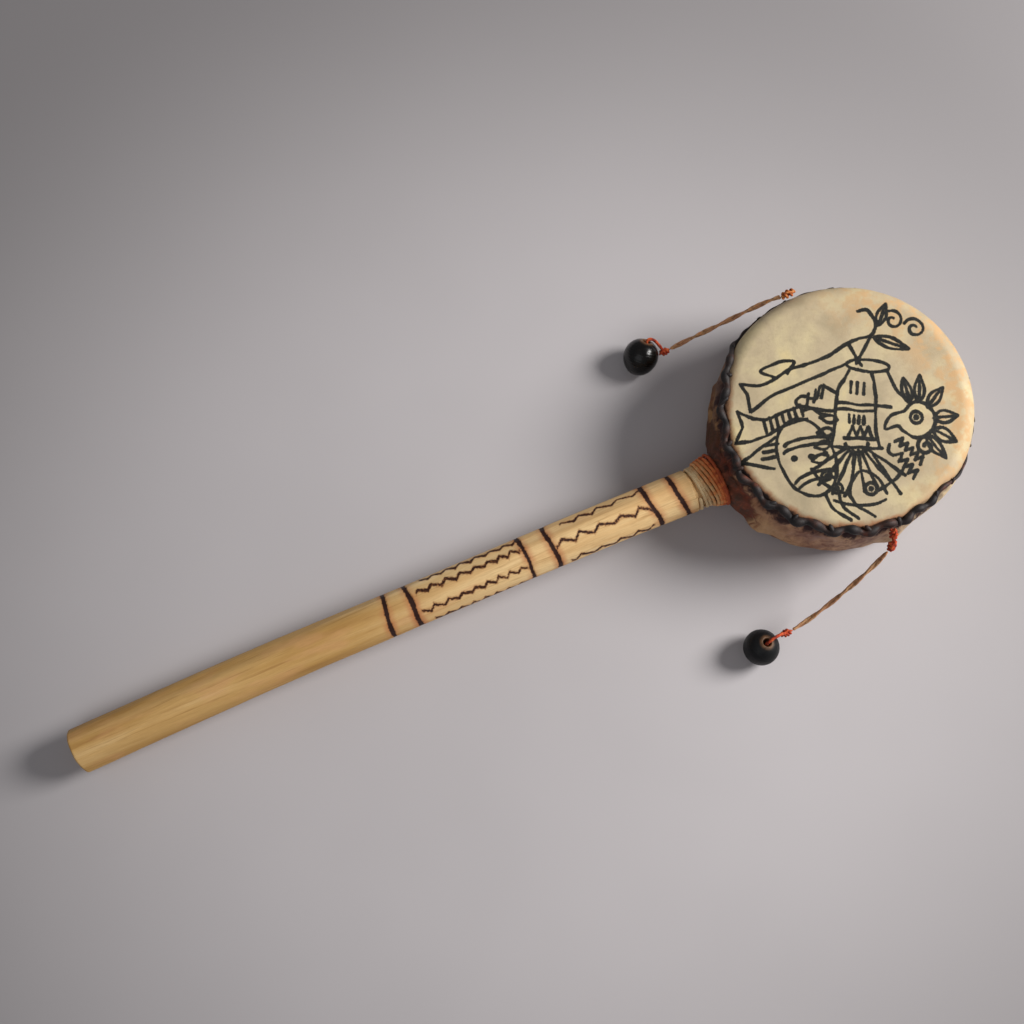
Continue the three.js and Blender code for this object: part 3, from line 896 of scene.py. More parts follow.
def draw():
    # a dancer with a plumed staff, after the manner of old painted books, in lines only. Here x runs to the
    # right of the drawing and y up it, from the middle of the hide.
    # the staff: two long lines with a flared foot, a pennant and a crook
    curve((-40, 10), (-31, 9.5), (-22, 15), (-8, 20), (2, 26), (6, 28))
    curve((-36, -1), (-28, 5), (-15, 11), (-4, 15.5), (6, 20.5))
    line((-40, 10), (-37.5, 6), (-36.2, -1))
    curve((-26, 12.5), (-32, 15), (-25, 18.5), (-19, 19), (-21.5, 14))
    line((2, 26), (7, 17))
    line((5, 18), (11, 29))
    # plumes at the head of the staff
    curve((6, 28), (11, 29), (13, 34), (10, 39), (6, 38.5))
    spiral((19.5, 35), 4.6, 1.0, 200, -1.35)
    spiral((27.5, 31.5), 4.2, 0.9, 150, -1.3)
    leaf((12, 28), (25, 23.5), 4.4)
    leaf((14, 33), (17, 41.5), 3.6)
    # shoulders and body: a tapering robe with a sash, chevrons and a row of bells
    arc((9, 17), (8.2, 2.4), 0, 360, -6)
    curve((2, 15), (-2.5, 8), (-4, 0), (-4.5, -8), (-6, -15))
    curve((16, 15), (20, 7), (24, 3))
    curve((10.5, 14.5), (11.5, 4), (11, -6), (12, -15))
    line((-3.5, 2.5), (17, 0.5))
    line((-3.8, 0), (10.5, -1.2))
    teeth((0.5, -10.5), (9.5, -11), 3.6, 3)
    line((-1, -11.5), (11, -12))
    ticks((2.2, 8.6), (7.2, 8.0), 4.4, 84, 3)
    ticks((1.0, -4.0), (6.6, -4.6), 3.2, 84, 4)
    # the raised arm, with a ringed sleeve and bracelets
    curve((-3, 6), (-9, 9), (-11, 4), (-17, 5), (-18, 1.5), (-4, -1))
    ticks((-8.5, 6.8), (-14.5, 3.6), 5.0, 78, 3)
    curve((-4, -3), (-9, -2), (-13, 0), (-17, -1))
    # long tail feathers to the left, ribbed, with forked ends
    curve((-18, 1), (-24, -1), (-30, -4), (-35, -4))
    curve((-15, -4), (-22, -6), (-29, -9.5), (-36, -12.5))
    line((-35, -4), (-41, -1), (-39.5, -7), (-42, -13), (-36, -12.5))
    ticks((-17, -0.6), (-31, -6.6), 4.8, 104, 7)
    line((-27, -11), (-40, -21), (-28, -23))
    ticks((-28.5, -14), (-30, -19), 5.0, 10, 3)
    # a round drum held low, seen from the side: bands, pegs and a row of dots
    arc((-15.5, -19), (10.5, 15.5), -168, 150, 20)
    arc((-15.5, -19), (10.5, 15.5), 150, 192, 20)
    arc((-14.5, -14), (9.5, 3.0), 20, 165, 8)
    arc((-14.5, -16.8), (9.8, 3.0), 20, 165, 8)
    arc((-12, -27), (8.4, 2.6), 15, 165, 16)
    arc((-11.6, -29.6), (7.4, 2.4), 20, 160, 16)
    for middle in ((-20, -19.5), (-14, -18.8), (-8.5, -17.4)):
        arc(middle, (0.7, 0.7), 0, 360, count=14)
    # a belt of leaves between the drum and the skirt
    for n in range(4):
        at = np.array([-3.5 - 1.3 * n, -4.5 - 4.6 * n])
        leaf(at, at + (-6.4, 1.0 - 1.1 * n), 3.2, vein=False)
    # the fan of the skirt: ribs, hems, eyes and stripes
    line((-6, -15), (13, -15.5))
    pivot = np.array([3.5, -13.0])
    for n, spread in enumerate(np.linspace(-148, -36, 8)):
        reach = np.array([np.cos(np.radians(spread)), np.sin(np.radians(spread))])
        line(pivot + (3.5 + n % 2) * reach, pivot + (20.5 + 2.0 * np.sin(n)) * reach)
    arc(pivot, (20.5, 20.5), -149, -102)
    arc(pivot, (24.5, 24.5), -112, -66)
    arc(pivot, (20.0, 20.0), -70, -32)
    arc(pivot, (4.2, 4.2), -170, -10)
    ticks((12, -22), (16.5, -29), 9.5, -58, 4)
    for middle, size in (((-8.5, -26), 1.9), ((-4.5, -31), 1.9), ((8, -31), 2.3)):
        arc(middle, (size, size), 0, 360, count=24)
        arc(middle, (0.35, 0.35), 0, 360, count=8)
    curve((-2, -34), (1, -28), (5, -24), (11, -27), (14, -33))
    # the trailing scarf at the foot
    curve((-9, -33), (-6, -39), (0, -43))
    curve((-4, -33), (-2.5, -38), (3, -42.5))
    curve((0, -34), (3, -38), (9, -41.5))
    # the head to the right: a bird's, with a round eye, a hooked bill and a crest
    curve((22, -1), (26, 2.5), (31, 1), (33.5, -4), (31.5, -9.5), (26, -11.5), (21, -9))
    curve((22, -1), (16.5, -3), (14.5, -8), (19, -7), (21, -9))
    arc((26.5, -3.5), (2.3, 2.3), 0, 360, count=28)
    arc((26.5, -3.5), (0.5, 0.5), 0, 360, count=10)
    spiral((29.5, -15), 3.8, 0.8, 60, 1.3)
    leaf((24, 2.5), (22.5, 12), 3.4)
    leaf((27.5, 2.5), (28.5, 13), 3.8)
    leaf((31, 0.5), (37, 8), 4.4)
    leaf((33, -4), (42, -3), 4.8)
    leaf((32.5, -8.5), (41, -13), 4.8)
    leaf((30, -11), (36.5, -19.5), 4.2)
    # beads hanging from the sleeve, and a fringe
    teeth((18, -13), (27, -22), 3.0, 5)
    teeth((17, -18.5), (24, -27.5), 3.4, 4)
    curve((16, -14), (15.5, -17), (17, -18.5))


def inkDistance(points):
    # signed distance in millimetres from each point to the nearest line's edge, below zero inside the line
    turnBack = np.radians(hide["drawingTurn"])
    c, s = np.cos(turnBack), np.sin(turnBack)
    x = (c * points[:, 0] - s * points[:, 1] - hide["drawingAt"][0]) / hide["drawingScale"]
    y = (s * points[:, 0] + c * points[:, 1] - hide["drawingAt"][1]) / hide["drawingScale"]
    here = np.stack([x, y], -1)
    shaky = noiseAt(51, x / 2.6, y / 2.6, 0)
    here = here + 0.28 * np.stack([noiseAt(52, x / 5, y / 5, n) for n in (0, 7)], -1)
    nearest = np.full(len(points), hide["clear"])
    for stroke in strokes:
        low, high = stroke.min(0) - 2, stroke.max(0) + 2
        near = np.nonzero(np.all((here > low) & (here < high), axis=1))[0]
        a, step = stroke[:-1], np.diff(stroke, axis=0)
        away = here[near, None, :] - a[None]
        share = np.clip((away * step).sum(-1) / np.maximum((step**2).sum(-1), 1e-9), 0, 1)
        gap = np.linalg.norm(away - share[..., None] * step, axis=-1).min(1)
        nearest[near] = np.minimum(nearest[near], gap)
    return nearest - hide["ink"] * (1 + 0.28 * shaky)


def hideShape():
    # a square net bent onto a disc: each square ring becomes a circle. The outer rings roll over the rim's
    # rounding down to the hem, and the rows after them turn under it and close the underside.
    n = hide["cells"]
    line = np.linspace(-1, 1, n + 1)
    x, y = np.meshgrid(line, line)
    square = np.maximum(np.abs(x), np.abs(y))
    spread = np.where(np.abs(x) > np.abs(y), y / np.where(x == 0, 1, x), x / np.where(y == 0, 1, y))
    bend = spread * np.pi / 4
    angle = np.where(
        np.abs(x) > np.abs(y), np.arctan2(np.sin(bend) * np.sign(x), np.cos(bend) * np.sign(x)),
        np.arctan2(np.cos(bend) * np.sign(y), np.sin(bend) * np.sign(y)),
    )
    corner = np.arange((n + 1) ** 2).reshape(n + 1, n + 1)
    quads = np.stack([corner[:-1, :-1], corner[:-1, 1:], corner[1:, 1:], corner[1:, :-1]], -1).reshape(-1, 4)
    edge = np.concatenate([corner[0, :-1], corner[:-1, -1], corner[-1, :0:-1], corner[:0:-1, 0]])
    angle = angle.ravel()
    square = square.ravel()
    flatRadius = drum["belly"] - drum["corner"]
    rolled = straightShare(hide["flatShare"], 1, square)
    hem = hemClimb(angle) + hide["hemLift"] + hide["scallop"] * np.cos(drum["stitches"] * angle) * rolled**2
    climb = 90 + (hem - 90) * rolled
    points = overRim(angle, climb, -hide["tuck"] * rolled**2)
    inFlat = square < hide["flatShare"]
    radius = flatRadius * square / hide["flatShare"]
    radius = radius + drumTurn(angle, radius)
    points = np.where(inFlat[:, None], polar(angle, radius, drum["half"]), points)
    sheet = points * np.array([1, 1, 0])
    fromHem = np.where(inFlat, 60, np.radians(climb - hem) * drum["corner"])
    swell = 0.10 * lumps(sheet / 21, 1, 61) + 0.045 * lumps(sheet / 6.5, 1, 62) - 0.05
    points[:, 2] += swell + smoothStep(0.6, 0.9, square) * 0.09 * noiseAt(63, angle * 6, square * 3, 0)
    around = angle[edge]
    hemHere = hem[edge]
    under = [points]
    for back, depth in ((0, 0.5), (0, 0.9), (9, 1.0), (28, 1.0)):
        under.append(overRim(around, hemHere + back, -hide["tuck"] - hide["thick"] * depth))
    for radius in hide["undersideRadii"]:
        level = drum["half"] - hide["thick"] - 0.1
        under.append(polar(around, radius, level))
    count = len(edge)
    rows = [edge] + [len(points) + m * count + np.arange(count) for m in range(len(under) - 1)]
    skirts = [np.stack([a, np.roll(a, -1), np.roll(b, -1), b], -1) for a, b in zip(rows[:-1], rows[1:])]
    every = np.vstack(under)
    last = rows[-1]
    every = np.vstack([every, every[last].mean(0)])
    triangles = np.stack([np.full(count, len(every) - 1), last, np.roll(last, -1)], -1)
    hidden = len(every) - len(points)
    values = {
        "ink": np.append(inkDistance(points), np.full(hidden, hide["clear"])),
        "rim": np.append(np.hypot(points[:, 0], points[:, 1]), np.full(hidden, 50.0)),
        "fromHem": np.append(fromHem, np.zeros(hidden)),
        "round": np.append(angle, np.tile(around, len(under) - 1).tolist() + [0]),
    }
    return lying(outward(every, np.vstack([quads] + skirts), triangles, values))


def hideMaterial():
    # scraped goatskin: cream, clouded, with peach stains towards the rim and black ink drawn on it; the
    # lower-left hem is darkened, partly stain and partly painted shade
    material, tree, shader = blankMaterial("struck hide")
    where = coords(tree)
    clouded = cloud(tree, where, 20, 4, 0.55, 0.3)
    mottled = cloud(tree, where, 5.5, 4, 0.6)
    speckled = cloud(tree, where, 1.1, 3, 0.6)
    pores = cloud(tree, where, 0.4, 3, 0.6)
    colour = ramp(tree, clouded, [
        (0.30, (172, 156, 126)), (0.45, (190, 172, 140)), (0.58, (204, 187, 148)),
        (0.72, (216, 196, 146)),
    ])
    colour = tinted(tree, colour, mottled, 0.45, 0.75, 0.35, (160, 146, 122))
    colour = tinted(tree, colour, speckled, 0.5, 0.75, 0.2, (158, 134, 102))
    rim = attribute(tree, "rim")
    angle = attribute(tree, "round")
    peach = times(tree, between(tree, rim, 24, 46), between(tree, mottled, 0.42, 0.62, 0.1, 1))
    rightSide = facing(tree, angle, -0.1, 0.8)
    colour = blend(tree, times(tree, peach, rightSide), colour, (204, 166, 120))
    # painted shade in part: on the lower left, away from the lamp, the roll-over and hem are darkened to tan
    # and then near black, partly real stain
    fromHem = plus(tree, attribute(tree, "fromHem"), between(tree, mottled, 0.3, 0.7, -0.8, 0.8))
    lowerLeft = facing(tree, angle, 0.0, 0.8, stainAndShadeTurn)
    stainAndShade = times(tree, between(tree, fromHem, 3.6, 1.0), between(tree, lowerLeft, 0, 1, 0.25, 0.9))
    colour = blend(tree, stainAndShade, colour, (168, 112, 76))
    dark = times(tree, between(tree, fromHem, 1.6, 0.4), between(tree, lowerLeft, 0, 1, 0.1, 1.0))
    colour = blend(tree, dark, colour, (40, 26, 22))
    ink = attribute(tree, "ink")
    bleed = plus(tree, ink, between(tree, pores, 0.25, 0.75, -0.16, 0.16))
    inkTone = ramp(tree, between(tree, speckled, 0.3, 0.7), [
        (0.0, (14, 14, 12)), (0.6, (22, 22, 18)), (1.0, (40, 38, 30)),
    ])
    colour = blend(tree, between(tree, bleed, 0.13, -0.12), colour, inkTone)
    coat(tree, shader, colour, between(tree, mottled, 0.3, 0.7, 0.55, 0.72), 0.35)
    coarse = bumped(tree, shader, mottled, 0.25, 0.7)
    bumped(tree, shader, pores, 0.07, 0.8, coarse)
    return material


draw()
place("struck_hide", hideShape(), hideMaterial(), "head_hide", "head_hide")
print("drumhead drawn")


# the side hide: one damp skin drawn up round the hoop, folded, and gathered onto the stick
skirt = {
    "groove": 12.0,          # how far the lip stays below the hem, in degrees
    "lipInsets": (-2.2, -3.6), "insideRadii": (30.0, 0.5), "insideLevel": 14.0,
    "around": 288, "flareAround": 240, "hollowAround": 96,
    "flareFrom": -63.0, "flareAt": -56.1, "flareTo": -41.0, "collar": (9.0, 10.6),
    "flareAcross": 24.0, "flareDeep": 10.5, "pleats": 15,
    "pleatDepth": 0.10, "waves": (0.35, 0.25), "lobeTall": 13,
    "voxel": 0.62, "smoothing": 5,
    "lobes": [(209, 4.2, 8, -3), (267, 3.6, 6, 4)],      # angle, reach, half width in degrees, level
    "hollow": [
        # radius and level of the room inside the skin, from the bottom up past the lip
        (42.6, -20.85), (47.5, -19.5), (50.6, -15.5), (51.5, -11.0), (51.5, 12.0), (50.5, 16.5), (50.2, 30),
    ],
}


def foldsOut(angle, w):
    # low ridges that run up the wall, and two places where the gathers bulge
    upTheWall = np.maximum(0, 1 - (w / (drum["half"] - 2)) ** 2)
    broad, fine = skirt["waves"]
    ridges = broad * np.cos(7 * angle + 0.9 * np.sin(3 * angle)) + fine * np.cos(13 * angle + w / 9)
    out = upTheWall * ridges
    for middle, reach, width, level in skirt["lobes"]:
        off = np.degrees(wrapped(angle - np.radians(middle)))
        out = out + reach * upTheWall * np.exp(-((off / width) ** 2) - ((w - level) / skirt["lobeTall"]) ** 2)
    return out


def wallShell():
    # the profile turned round the drum's axis: lower face, rounded corner, wall, and up the rim to the lip,
    # which follows the laced line
    bend = np.linspace(-np.pi / 2, 0, 12)
    inner = drum["belly"] - drum["corner"]
    level = drum["half"] - drum["corner"]
    low = np.stack([inner + drum["corner"] * np.cos(bend), -level + drum["corner"] * np.sin(bend)], -1)
    face = np.stack([np.linspace(0.5, inner, 16)[:-1], np.full(15, -drum["half"])], -1)
    wall = np.stack([np.full(8, drum["belly"]), np.linspace(-level, level, 10)[1:-1]], -1)
    profile = np.vstack([face, low, wall])
    angle = np.arange(skirt["around"])[None, :] / skirt["around"] * full
    radius, w = profile[:, :1], profile[:, 1:] + angle * 0
    radius = radius + np.minimum(1, radius / 40) * (drumTurn(angle, radius) + foldsOut(angle, w))
    rows = [polar(angle, radius, w)]
    lip = hemClimb(angle[0]) - skirt["groove"]
    for share in np.linspace(0, 1, 9):
        level = drum["half"] - drum["corner"] + drum["corner"] * np.sin(np.radians(lip * share))
        rows.append(overRim(angle[0], lip * share, foldsOut(angle[0], level))[None])
    for inset in skirt["lipInsets"]:
        rows.append(overRim(angle[0], lip, inset)[None])
    for radius in skirt["insideRadii"]:
        rows.append(polar(angle, radius, skirt["insideLevel"]))
    return shell(np.vstack(rows))


def flareShell():
    # a funnel from the twine out to the wall; its section widens across faster than it deepens
    u = np.concatenate([
        np.linspace(skirt["flareFrom"], skirt["flareAt"], 8)[:-1],
        skirt["flareAt"] + np.linspace(0, 1, 26) ** 1.3 * (skirt["flareTo"] - skirt["flareAt"]),
    ])[:, None]
    t = np.clip((u - skirt["flareAt"]) / (skirt["flareTo"] - skirt["flareAt"]), 0, 1)
    collar = np.interp(u, [skirt["flareFrom"], skirt["flareAt"]], skirt["collar"])
    angle = np.arange(skirt["flareAround"])[None, :] / skirt["flareAround"] * full
    ridge = np.abs(np.sin(skirt["pleats"] / 2 * angle + 0.7 * np.sin(2 * angle) + 2.0 * t)) - 0.6
    pleat = 1 + skirt["pleatDepth"] * np.minimum(1, 3.5 * t) * (1 - 0.55 * t) * ridge
    wide = (collar + skirt["flareAcross"] * t**0.8) * pleat
    deep = (collar + skirt["flareDeep"] * t**0.9) * pleat
    centre = stick["neckAside"] * (1 - t)
    return shell(np.stack([u + 0 * angle, centre + wide * np.cos(angle), deep * np.sin(angle)], -1))


def remeshed(shape, voxel):
    # one even skin over shells that run into each other
    source = added("skin source", meshFrom("skin source", inMetres(shape)))
    made = modified(source, "REMESH", mode="VOXEL", voxel_size=voxel * mm)
    old = source.data
    bpy.data.objects.remove(source)
    bpy.data.meshes.remove(old)
    return made


def vectorsOf(items, key):
    flat = np.empty(len(items) * 3, np.float32)
    items.foreach_get(key, flat)
    return flat.reshape(-1, 3).astype(float)


def pointsOf(mesh):
    return vectorsOf(mesh.vertices, "co") / mm


def normalsOf(mesh):
    return vectorsOf(mesh.vertex_normals, "vector")


def setPoints(mesh, metres):
    mesh.vertices.foreach_set("co", metres.astype(np.float32).ravel())
    mesh.update()


def modified(piece, kind, **settings):
    # the mesh that one modifier makes of a piece
    modifier = piece.modifiers.new("change", kind)
    for key, value in settings.items():
        setattr(modifier, key, value)
    return bpy.data.meshes.new_from_object(piece.evaluated_get(bpy.context.evaluated_depsgraph_get()))


def relaxed(mesh, points, rounds, share=0.5):
    # each point moves part of the way to the middle of its neighbours
    edges = np.empty(len(mesh.edges) * 2, np.int32)
    mesh.edges.foreach_get("vertices", edges)
    ends = np.concatenate([edges.reshape(-1, 2), edges.reshape(-1, 2)[:, ::-1]])
    count = np.bincount(ends[:, 0], minlength=len(points))[:, None]
    for _ in range(rounds):
        middle = np.stack([np.bincount(ends[:, 0], points[ends[:, 1], n], len(points)) for n in range(3)], -1)
        points = points + share * (middle / np.maximum(count, 1) - points)
    return points


# heights of the wrinkles, in millimetres; the ruffle's are for the stitches and for chance
crease = {
    "ridge": 0.62, "fine": 0.34, "gather": 0.85, "underside": 0.16, "ruffleIn": (0.35, 0.25),
    "ruffleUp": (0.45, 0.3),
}


def creased(points, normals):
    # wrinkles: sharp-edged noise stretched up the wall, gathers that fan out from the neck, and a ruffled lip
    u, v, w = points.T
    angle = np.arctan2(v, u)
    radius = np.hypot(u, v)
    wall = smoothStep(44, 50, radius) * smoothStep(20.4, 17.5, w)
    under = smoothStep(-18, -21, w)
    round_ = np.stack([np.cos(angle) * 53, np.sin(angle) * 53, w], -1)
    left = 0.5 + 0.5 * smoothStep(0.3, -0.7, np.cos(angle - np.radians(-12)))
    lean = round_ * np.array([1, 1, 0.30])
    ridges = 0.5 - np.abs(lumps(lean / 7.5, 1, 71))
    finer = 0.5 - np.abs(lumps((lean + 3 * lumps(round_ / 11, 1, 73)[:, None]) / 3.6, 1, 72))
    out = wall * left * (crease["ridge"] * ridges + crease["fine"] * finer)
    fromNeck = np.hypot(v - stick["neckAside"] * 0.5, w * 1.25)
    near = smoothStep(-20, -36, u)
    roundNeck = np.arctan2(w, v)
    gather = np.cos(17 * roundNeck + 2.2 * lumps(points / 12, 1, 74)) * 0.5 + 0.5 * np.cos(9 * roundNeck + 1)
    reach = smoothStep(9, 15, fromNeck) * smoothStep(46, 20, fromNeck)
    out = out + near * reach * crease["gather"] * gather
    ruffle = smoothStep(16.5, 19.6, w) * smoothStep(49, 50.6, radius)
    stitch = np.cos(drum["stitches"] * angle)
    out = out + under * crease["underside"] * lumps(points / 9, 1, 75)
    moved = points + normals * out[:, None]
    inwards = -np.stack([np.cos(angle), np.sin(angle), 0 * w], -1)
    byStitch, byChance = crease["ruffleIn"]
    drawnIn = ruffle * (byStitch * stitch + byChance * lumps(round_ / 5, 1, 76))
    moved = moved + drawnIn[:, None] * inwards
    byStitch, byChance = crease["ruffleUp"]
    moved[:, 2] += ruffle * (byStitch * stitch + byChance * lumps(round_ / 4, 1, 77))
    return moved


def sideMesh():
    mesh = remeshed(together([wallShell(), flareShell()]), skirt["voxel"])
    points = relaxed(mesh, pointsOf(mesh), skirt["smoothing"])
    setPoints(mesh, points * mm)
    points = relaxed(mesh, creased(points, normalsOf(mesh)), 1, 0.4)
    setPoints(mesh, points * mm)
    whole = added("skin whole", mesh)
    angle = np.arange(skirt["hollowAround"])[None, :] / skirt["hollowAround"] * full
    hollow = np.array(skirt["hollow"])
    radius = hollow[:, :1] + drumTurn(angle, hollow[:, :1])
    cutter = added("chamber", meshFrom("chamber", inMetres(shell(polar(angle, radius, hollow[:, 1:])))))
    made = modified(whole, "BOOLEAN", operation="DIFFERENCE", solver="MANIFOLD", object=cutter)
    for part in (whole, cutter):
        bpy.data.objects.remove(part)
    points = pointsOf(made)
    u, v, w = points.T
    angle = np.arctan2(v, u)
    radius = np.hypot(u, v)
    neck = smoothStep(36, 14, np.hypot(v - stick["neckAside"] * 0.5, w * 1.15)) * smoothStep(-30, -44, u)
    setValues(made, {
        "level": w, "round": angle, "neck": neck, "across": v,
        "bulge": smoothStep(drum["belly"] + 0.6, drum["belly"] + 3.2, radius),
    })
    made.polygons.foreach_set("use_smooth", np.ones(len(made.polygons), bool))
    setPoints(made, lie(points))
    return made


def sideMaterial():
    # the side hide dried darker: pale at the far side, tan and pink at the near side and ochre above the neck
    # (partly painted shade away from the lamp), dark red where it is gathered at the stick, and black along
    # the lower-left lip, partly lacing stain and partly painted shade in the groove
    material, tree, shader = blankMaterial("side hide")
    where = coords(tree)
    tall = coords(tree, (1, 1, 0.4))
    clouded = cloud(tree, tall, 12, 4, 0.6, 0.5)
    mottled = cloud(tree, tall, 4.0, 4, 0.65, 0.6)
    speckled = cloud(tree, where, 1.2, 4, 0.65)
    pores = cloud(tree, where, 0.45, 3, 0.6)
    angle = attribute(tree, "round")
    level = attribute(tree, "level")
    neck = attribute(tree, "neck")
    pale = ramp(tree, clouded, [
        (0.3, (196, 168, 130)), (0.5, (216, 196, 160)), (0.7, (230, 214, 182)),
    ])
    tan = ramp(tree, clouded, [
        (0.3, (118, 74, 58)), (0.45, (160, 112, 82)), (0.6, (196, 150, 110)),
        (0.75, (214, 176, 136)),
    ])
    ochre = ramp(tree, clouded, [
        (0.3, (74, 46, 40)), (0.45, (124, 86, 56)), (0.6, (160, 118, 74)),
        (0.75, (186, 146, 98)),
    ])
    # painted shade in part: the near side, away from the lamp, turns from pale to tan and ochre, partly the
    # hide's own colour
    leftward = facing(tree, angle, 0.35, -0.35)
    colour = blend(tree, leftward, pale, tan)
    upper = between(tree, reckon(tree, "SINE", angle), -0.05, 0.3)
    colour = blend(tree, times(tree, leftward, upper), colour, ochre)
    colour = tinted(tree, colour, mottled, 0.48, 0.66, 0.6, (104, 58, 50))
    colour = blend(tree, times(tree, attribute(tree, "bulge"), 0.75), colour, (208, 166, 120))
    colour = tinted(tree, colour, speckled, 0.5, 0.75, 0.3, (120, 84, 60))
    gathered = ramp(tree, mottled, [
        (0.3, (34, 16, 12)), (0.45, (74, 30, 20)), (0.6, (120, 54, 34)),
        (0.75, (168, 98, 64)),
    ])
    edge = plus(tree, neck, between(tree, mottled, 0.3, 0.7, -0.2, 0.2))
    colour = tinted(tree, colour, edge, 0.35, 0.75, 0.92, gathered)
    # a dark olive patch on the upper side of the neck
    upperSide = between(tree, attribute(tree, "across"), 3, 13)
    olivePatch = times(tree, between(tree, neck, 0.15, 0.5), upperSide)
    olivePatch = times(tree, olivePatch, between(tree, mottled, 0.42, 0.62, 0, 0.8))
    colour = blend(tree, olivePatch, colour, (62, 52, 30))
    # painted shade in part: the lip on the lower left, away from the lamp, is darkened to near black, partly
    # a real stain from the lacing and partly painted shade in the groove
    lip = plus(tree, level, between(tree, mottled, 0.3, 0.7, -2.2, 2.2))
    stainAndShadeSide = facing(tree, angle, -0.2, 0.6, stainAndShadeTurn)
    stainAndShade = times(tree, between(tree, lip, 15.5, 19.5), between(tree, stainAndShadeSide, 0, 1, 0.25, 1))
    colour = blend(tree, stainAndShade, colour, (52, 26, 26))
    coat(tree, shader, colour, between(tree, mottled, 0.3, 0.7, 0.5, 0.75), 0.4)
    coarse = bumped(tree, shader, mottled, 0.5, 0.8)
    middle = bumped(tree, shader, speckled, 0.16, 0.8, coarse)
    bumped(tree, shader, pores, 0.07, 0.8, middle)
    return material


place("side_skin", sideMesh(), sideMaterial(), "side_hide", "side_hide")
print("side hide drawn up")


# lacing: waxed cord that dips through the hem and climbs over the groove at every stitch
lace = {
    "thick": 1.6, "thin": 0.6, "points": 2400,
    "below": 5.5, "sway": 8.5, "bar": 16.0,               # degrees round the rim's rounding
    "lift": 0.1, "shadeLift": 0.45, "weave": 0.3,         # how far the cord stands off the hide
    "barThin": 0.42, "barMore": 0.5,
}


def laceShadeWeight(angle):
    # 1 beside the stick, on the side away from the lamp, where the cord is drawn thicker to stand in for the
    # groove's shade, and 0 round the far side
    return smoothStep(-0.25, 0.5, np.cos(angle - np.radians(205)))


def laceShape():
    # a wavy ring along the groove: it sways up and down the rim once for each stitch, thickest near the
    # stick, where the extra dark cord is painted shade
    angle = np.arange(lace["points"]) / lace["points"] * full
    shadeWeight = laceShadeWeight(angle)
    slow = noiseAt(81, np.cos(angle) * 3, np.sin(angle) * 3, 0)
    phase = drum["stitches"] * angle + 0.9 * slow
    climb = hemClimb(angle) - lace["below"] + lace["sway"] * (0.3 + 0.7 * shadeWeight) * np.cos(phase)
    size = lace["thin"] + (lace["thick"] - lace["thin"]) * shadeWeight
    size = size * (1 + 0.2 * np.sin(phase * 2) + 0.2 * slow)
    out = lace["lift"] + lace["shadeLift"] * shadeWeight + lace["weave"] * np.sin(2 * phase + 0.6) * shadeWeight
    return thread(overRim(angle, climb, out), size, 12, closed=True)


def stitchShapes():
    # short bars of cord across the groove, from the hem over the lip; thicker near the stick as painted shade
    shapes = []
    for n in range(drum["stitches"]):
        angle = (n + 0.5 + 0.16 * np.sin(2.7 * n)) / drum["stitches"] * full
        shadeWeight = laceShadeWeight(angle)
        lean = 0.045 * np.sin(5.1 * n)
        size = lace["barThin"] + lace["barMore"] * shadeWeight
        t = np.linspace(-1, 1, 26)
        climb = hemClimb(angle + lean * t) - lace["below"] - (0.55 + 0.45 * shadeWeight) * lace["bar"] * t
        out = 0.25 + (0.35 + 0.6 * shadeWeight) * (1 - t**2)
        shapes.append(thread(overRim(angle + lean * t, climb, out), size, 10))
    return shapes


def laceMaterial():
    material, tree, shader = blankMaterial("waxed lacing")
    where = coords(tree)
    tint = cloud(tree, where, 6, 3)
    fibre = cloud(tree, where, 0.4, 3, 0.7)
    colour = ramp(tree, tint, [
        (0.35, (24, 20, 22)), (0.5, (36, 27, 26)), (0.62, (60, 34, 26)),
        (0.72, (104, 52, 34)),
    ])
    coat(tree, shader, colour, 0.6)
    bumped(tree, shader, fibre, 0.12)
    return material


laced = lying(together([laceShape()] + stitchShapes()))
place("rim_lacing", laced, laceMaterial(), "lacing_cord", "lacing")
print("rim laced")


# neck binding: two-ply twine wound round the neck over the collar of the side hide
twine = {
    "radius": 0.78, "turns": 8.35, "first": -68.3, "last": -56.6, "pitch": 3.2, "lean": 1.3,
    "startAngle": 2.2, "gap": 0.12, "points": 2600,
}


def twineShape():
    # a helix round the stick's neck that climbs the collar; each turn wanders a little
    t = np.linspace(0, 1, twine["points"])
    turnRound = t * twine["turns"] * full + twine["startAngle"]
    u = twine["first"] + (twine["last"] - twine["first"]) * t
    u = u + 0.22 * np.sin(turnRound * 2 + 5 * t) * np.sin(np.pi * t) + 0.16 * np.sin(turnRound + 9 * t)
    collar = np.interp(u, [skirt["flareFrom"], skirt["flareAt"]], skirt["collar"])
    onCollar = smoothStep(skirt["flareFrom"] - 1.2, skirt["flareFrom"], u)
    under = stick["neck"] + (collar - stick["neck"]) * onCollar
    r = under + twine["radius"] + twine["gap"] + 0.10 * np.sin(3 * turnRound)
    u = u - twine["lean"] * np.cos(turnRound) * smoothStep(0, 0.15, t) * smoothStep(1, 0.85, t)
    path = np.stack([u, stick["neckAside"] + r * np.cos(turnRound), r * np.sin(turnRound)], -1)
    side = t[:, None] * np.ones((1, 12))
    radius = twine["radius"] * (1 + 0.06 * np.sin(9 * turnRound))
    return thread(path, radius, 12, twine["pitch"], dip=0.14, values={"turn": side})


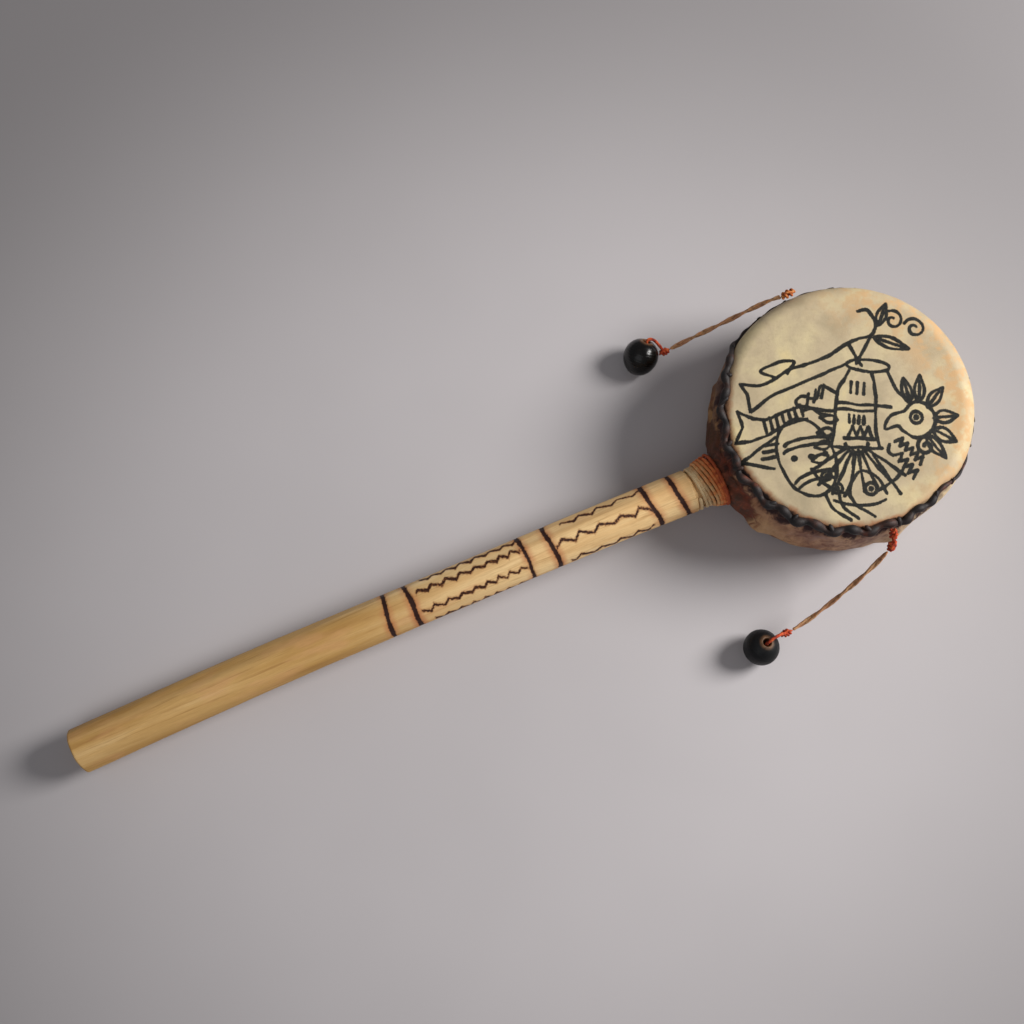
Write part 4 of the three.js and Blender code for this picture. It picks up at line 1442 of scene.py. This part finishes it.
def twineMaterial():
    # tan at the stick's end, rust at the drum's, with fine brown flecks along the fibres
    material, tree, shader = blankMaterial("binding twine")
    where = coords(tree)
    tint = cloud(tree, where, 3, 3, 0.6)
    fibre = cloud(tree, where, 0.32, 3, 0.7)
    turn = plus(tree, attribute(tree, "turn"), between(tree, tint, 0.3, 0.7, -0.14, 0.14))
    colour = ramp(tree, turn, [
        (0.10, (238, 208, 160)), (0.38, (236, 188, 132)), (0.55, (240, 160, 98)),
        (0.75, (232, 124, 66)), (0.92, (186, 84, 46)),
    ])
    colour = tinted(tree, colour, fibre, 0.4, 0.7, 0.35, (104, 60, 34))
    coat(tree, shader, colour, 0.85)
    bumped(tree, shader, fibre, 0.14)
    return material


place("twine_binding", lying(twineShape()), twineMaterial(), "twine", "neck_binding")
print("neck bound")


# the hoop inside keeps its solid
def hoopMaterial():
    material, tree, shader = blankMaterial("bent hoop wood")
    streak = cloud(tree, coords(tree, (1, 1, 4)), 9, 4, 0.6, 0.4)
    colour = ramp(tree, streak, [(0.3, (98, 66, 40)), (0.5, (132, 94, 60)), (0.7, (158, 118, 78))])
    coat(tree, shader, colour, 0.7)
    bumped(tree, shader, streak, 0.3)
    return material


hoop = frame["nodes"]["hoop"]
hoop.data.materials.clear()
hoop.data.materials.append(hoopMaterial())


# the table, the air around it and soft lamps
studio = {
    "table": 12000.0,
    "tableColour": (196, 191, 193),
    "paintedDim": 0.52,          # painted shade: how dark the table is painted far from its middle, outside a painted pool of light
    "middle": (-22.0, -22.0), "fades": (110.0, 350.0),
    "key": {"at": (855, -130, 610), "size": 460, "power": 12.6, "colour": (1.0, 0.985, 0.96)},
    "fill": {"at": (-500, -350, 900), "size": 900, "power": 1.2, "colour": (0.96, 0.97, 1.0)},
    "air": 0.20, "airColour": (0.93, 0.93, 0.95, 1),
}


def tableMaterial():
    # pale grey, with a broad painted pool of light round the drum that falls off to painted shade further out
    material, tree, shader = blankMaterial("pale table")
    tone = cloud(tree, coords(tree), 90, 2)
    pale = linear(*studio["tableColour"])
    deep = tuple(value * studio["paintedDim"] for value in pale[:3]) + (1.0,)
    centred = node(tree, "VectorMath", {0: coords(tree), 1: studio["middle"] + (0.0,)}, operation="SUBTRACT")
    away = node(tree, "VectorMath", {0: centred.outputs["Vector"]}, operation="LENGTH").outputs["Value"]
    # painted pool of light: pale near the drum, painted shade further out
    colour = blend(tree, between(tree, away, *studio["fades"]), pale, deep)
    colour = tinted(tree, colour, tone, 0.3, 0.7, 0.06, deep)
    coat(tree, shader, colour, 0.75, 0.2)
    return material


def addTable():
    half = studio["table"] * mm / 2
    mesh = bpy.data.meshes.new("table")
    corners = [(-half, -half, 0), (half, -half, 0), (half, half, 0), (-half, half, 0)]
    mesh.from_pydata(corners, [], [(0, 1, 2, 3)])
    mesh.materials.append(tableMaterial())
    table = added("table", mesh)


def addLamp(name, at, size, power, colour):
    data = bpy.data.lights.new(name, "AREA")
    data.shape = "DISK"
    data.size = size * mm
    data.energy = power
    data.color = colour
    lamp = added(name, data)
    lamp.location = Vector(at) * mm
    lamp.rotation_euler = (-Vector(at)).to_track_quat("-Z", "Y").to_euler()


addTable()
addLamp("key", **studio["key"])
addLamp("fill", **studio["fill"])
world = bpy.data.worlds.new("air")
world.use_nodes = True
air = world.node_tree.nodes["Background"].inputs
air["Color"].default_value = studio["airColour"]
air["Strength"].default_value = studio["air"]
bpy.context.scene.world = world
bpy.context.scene.view_settings.view_transform = "Standard"
print("table and lamps set")
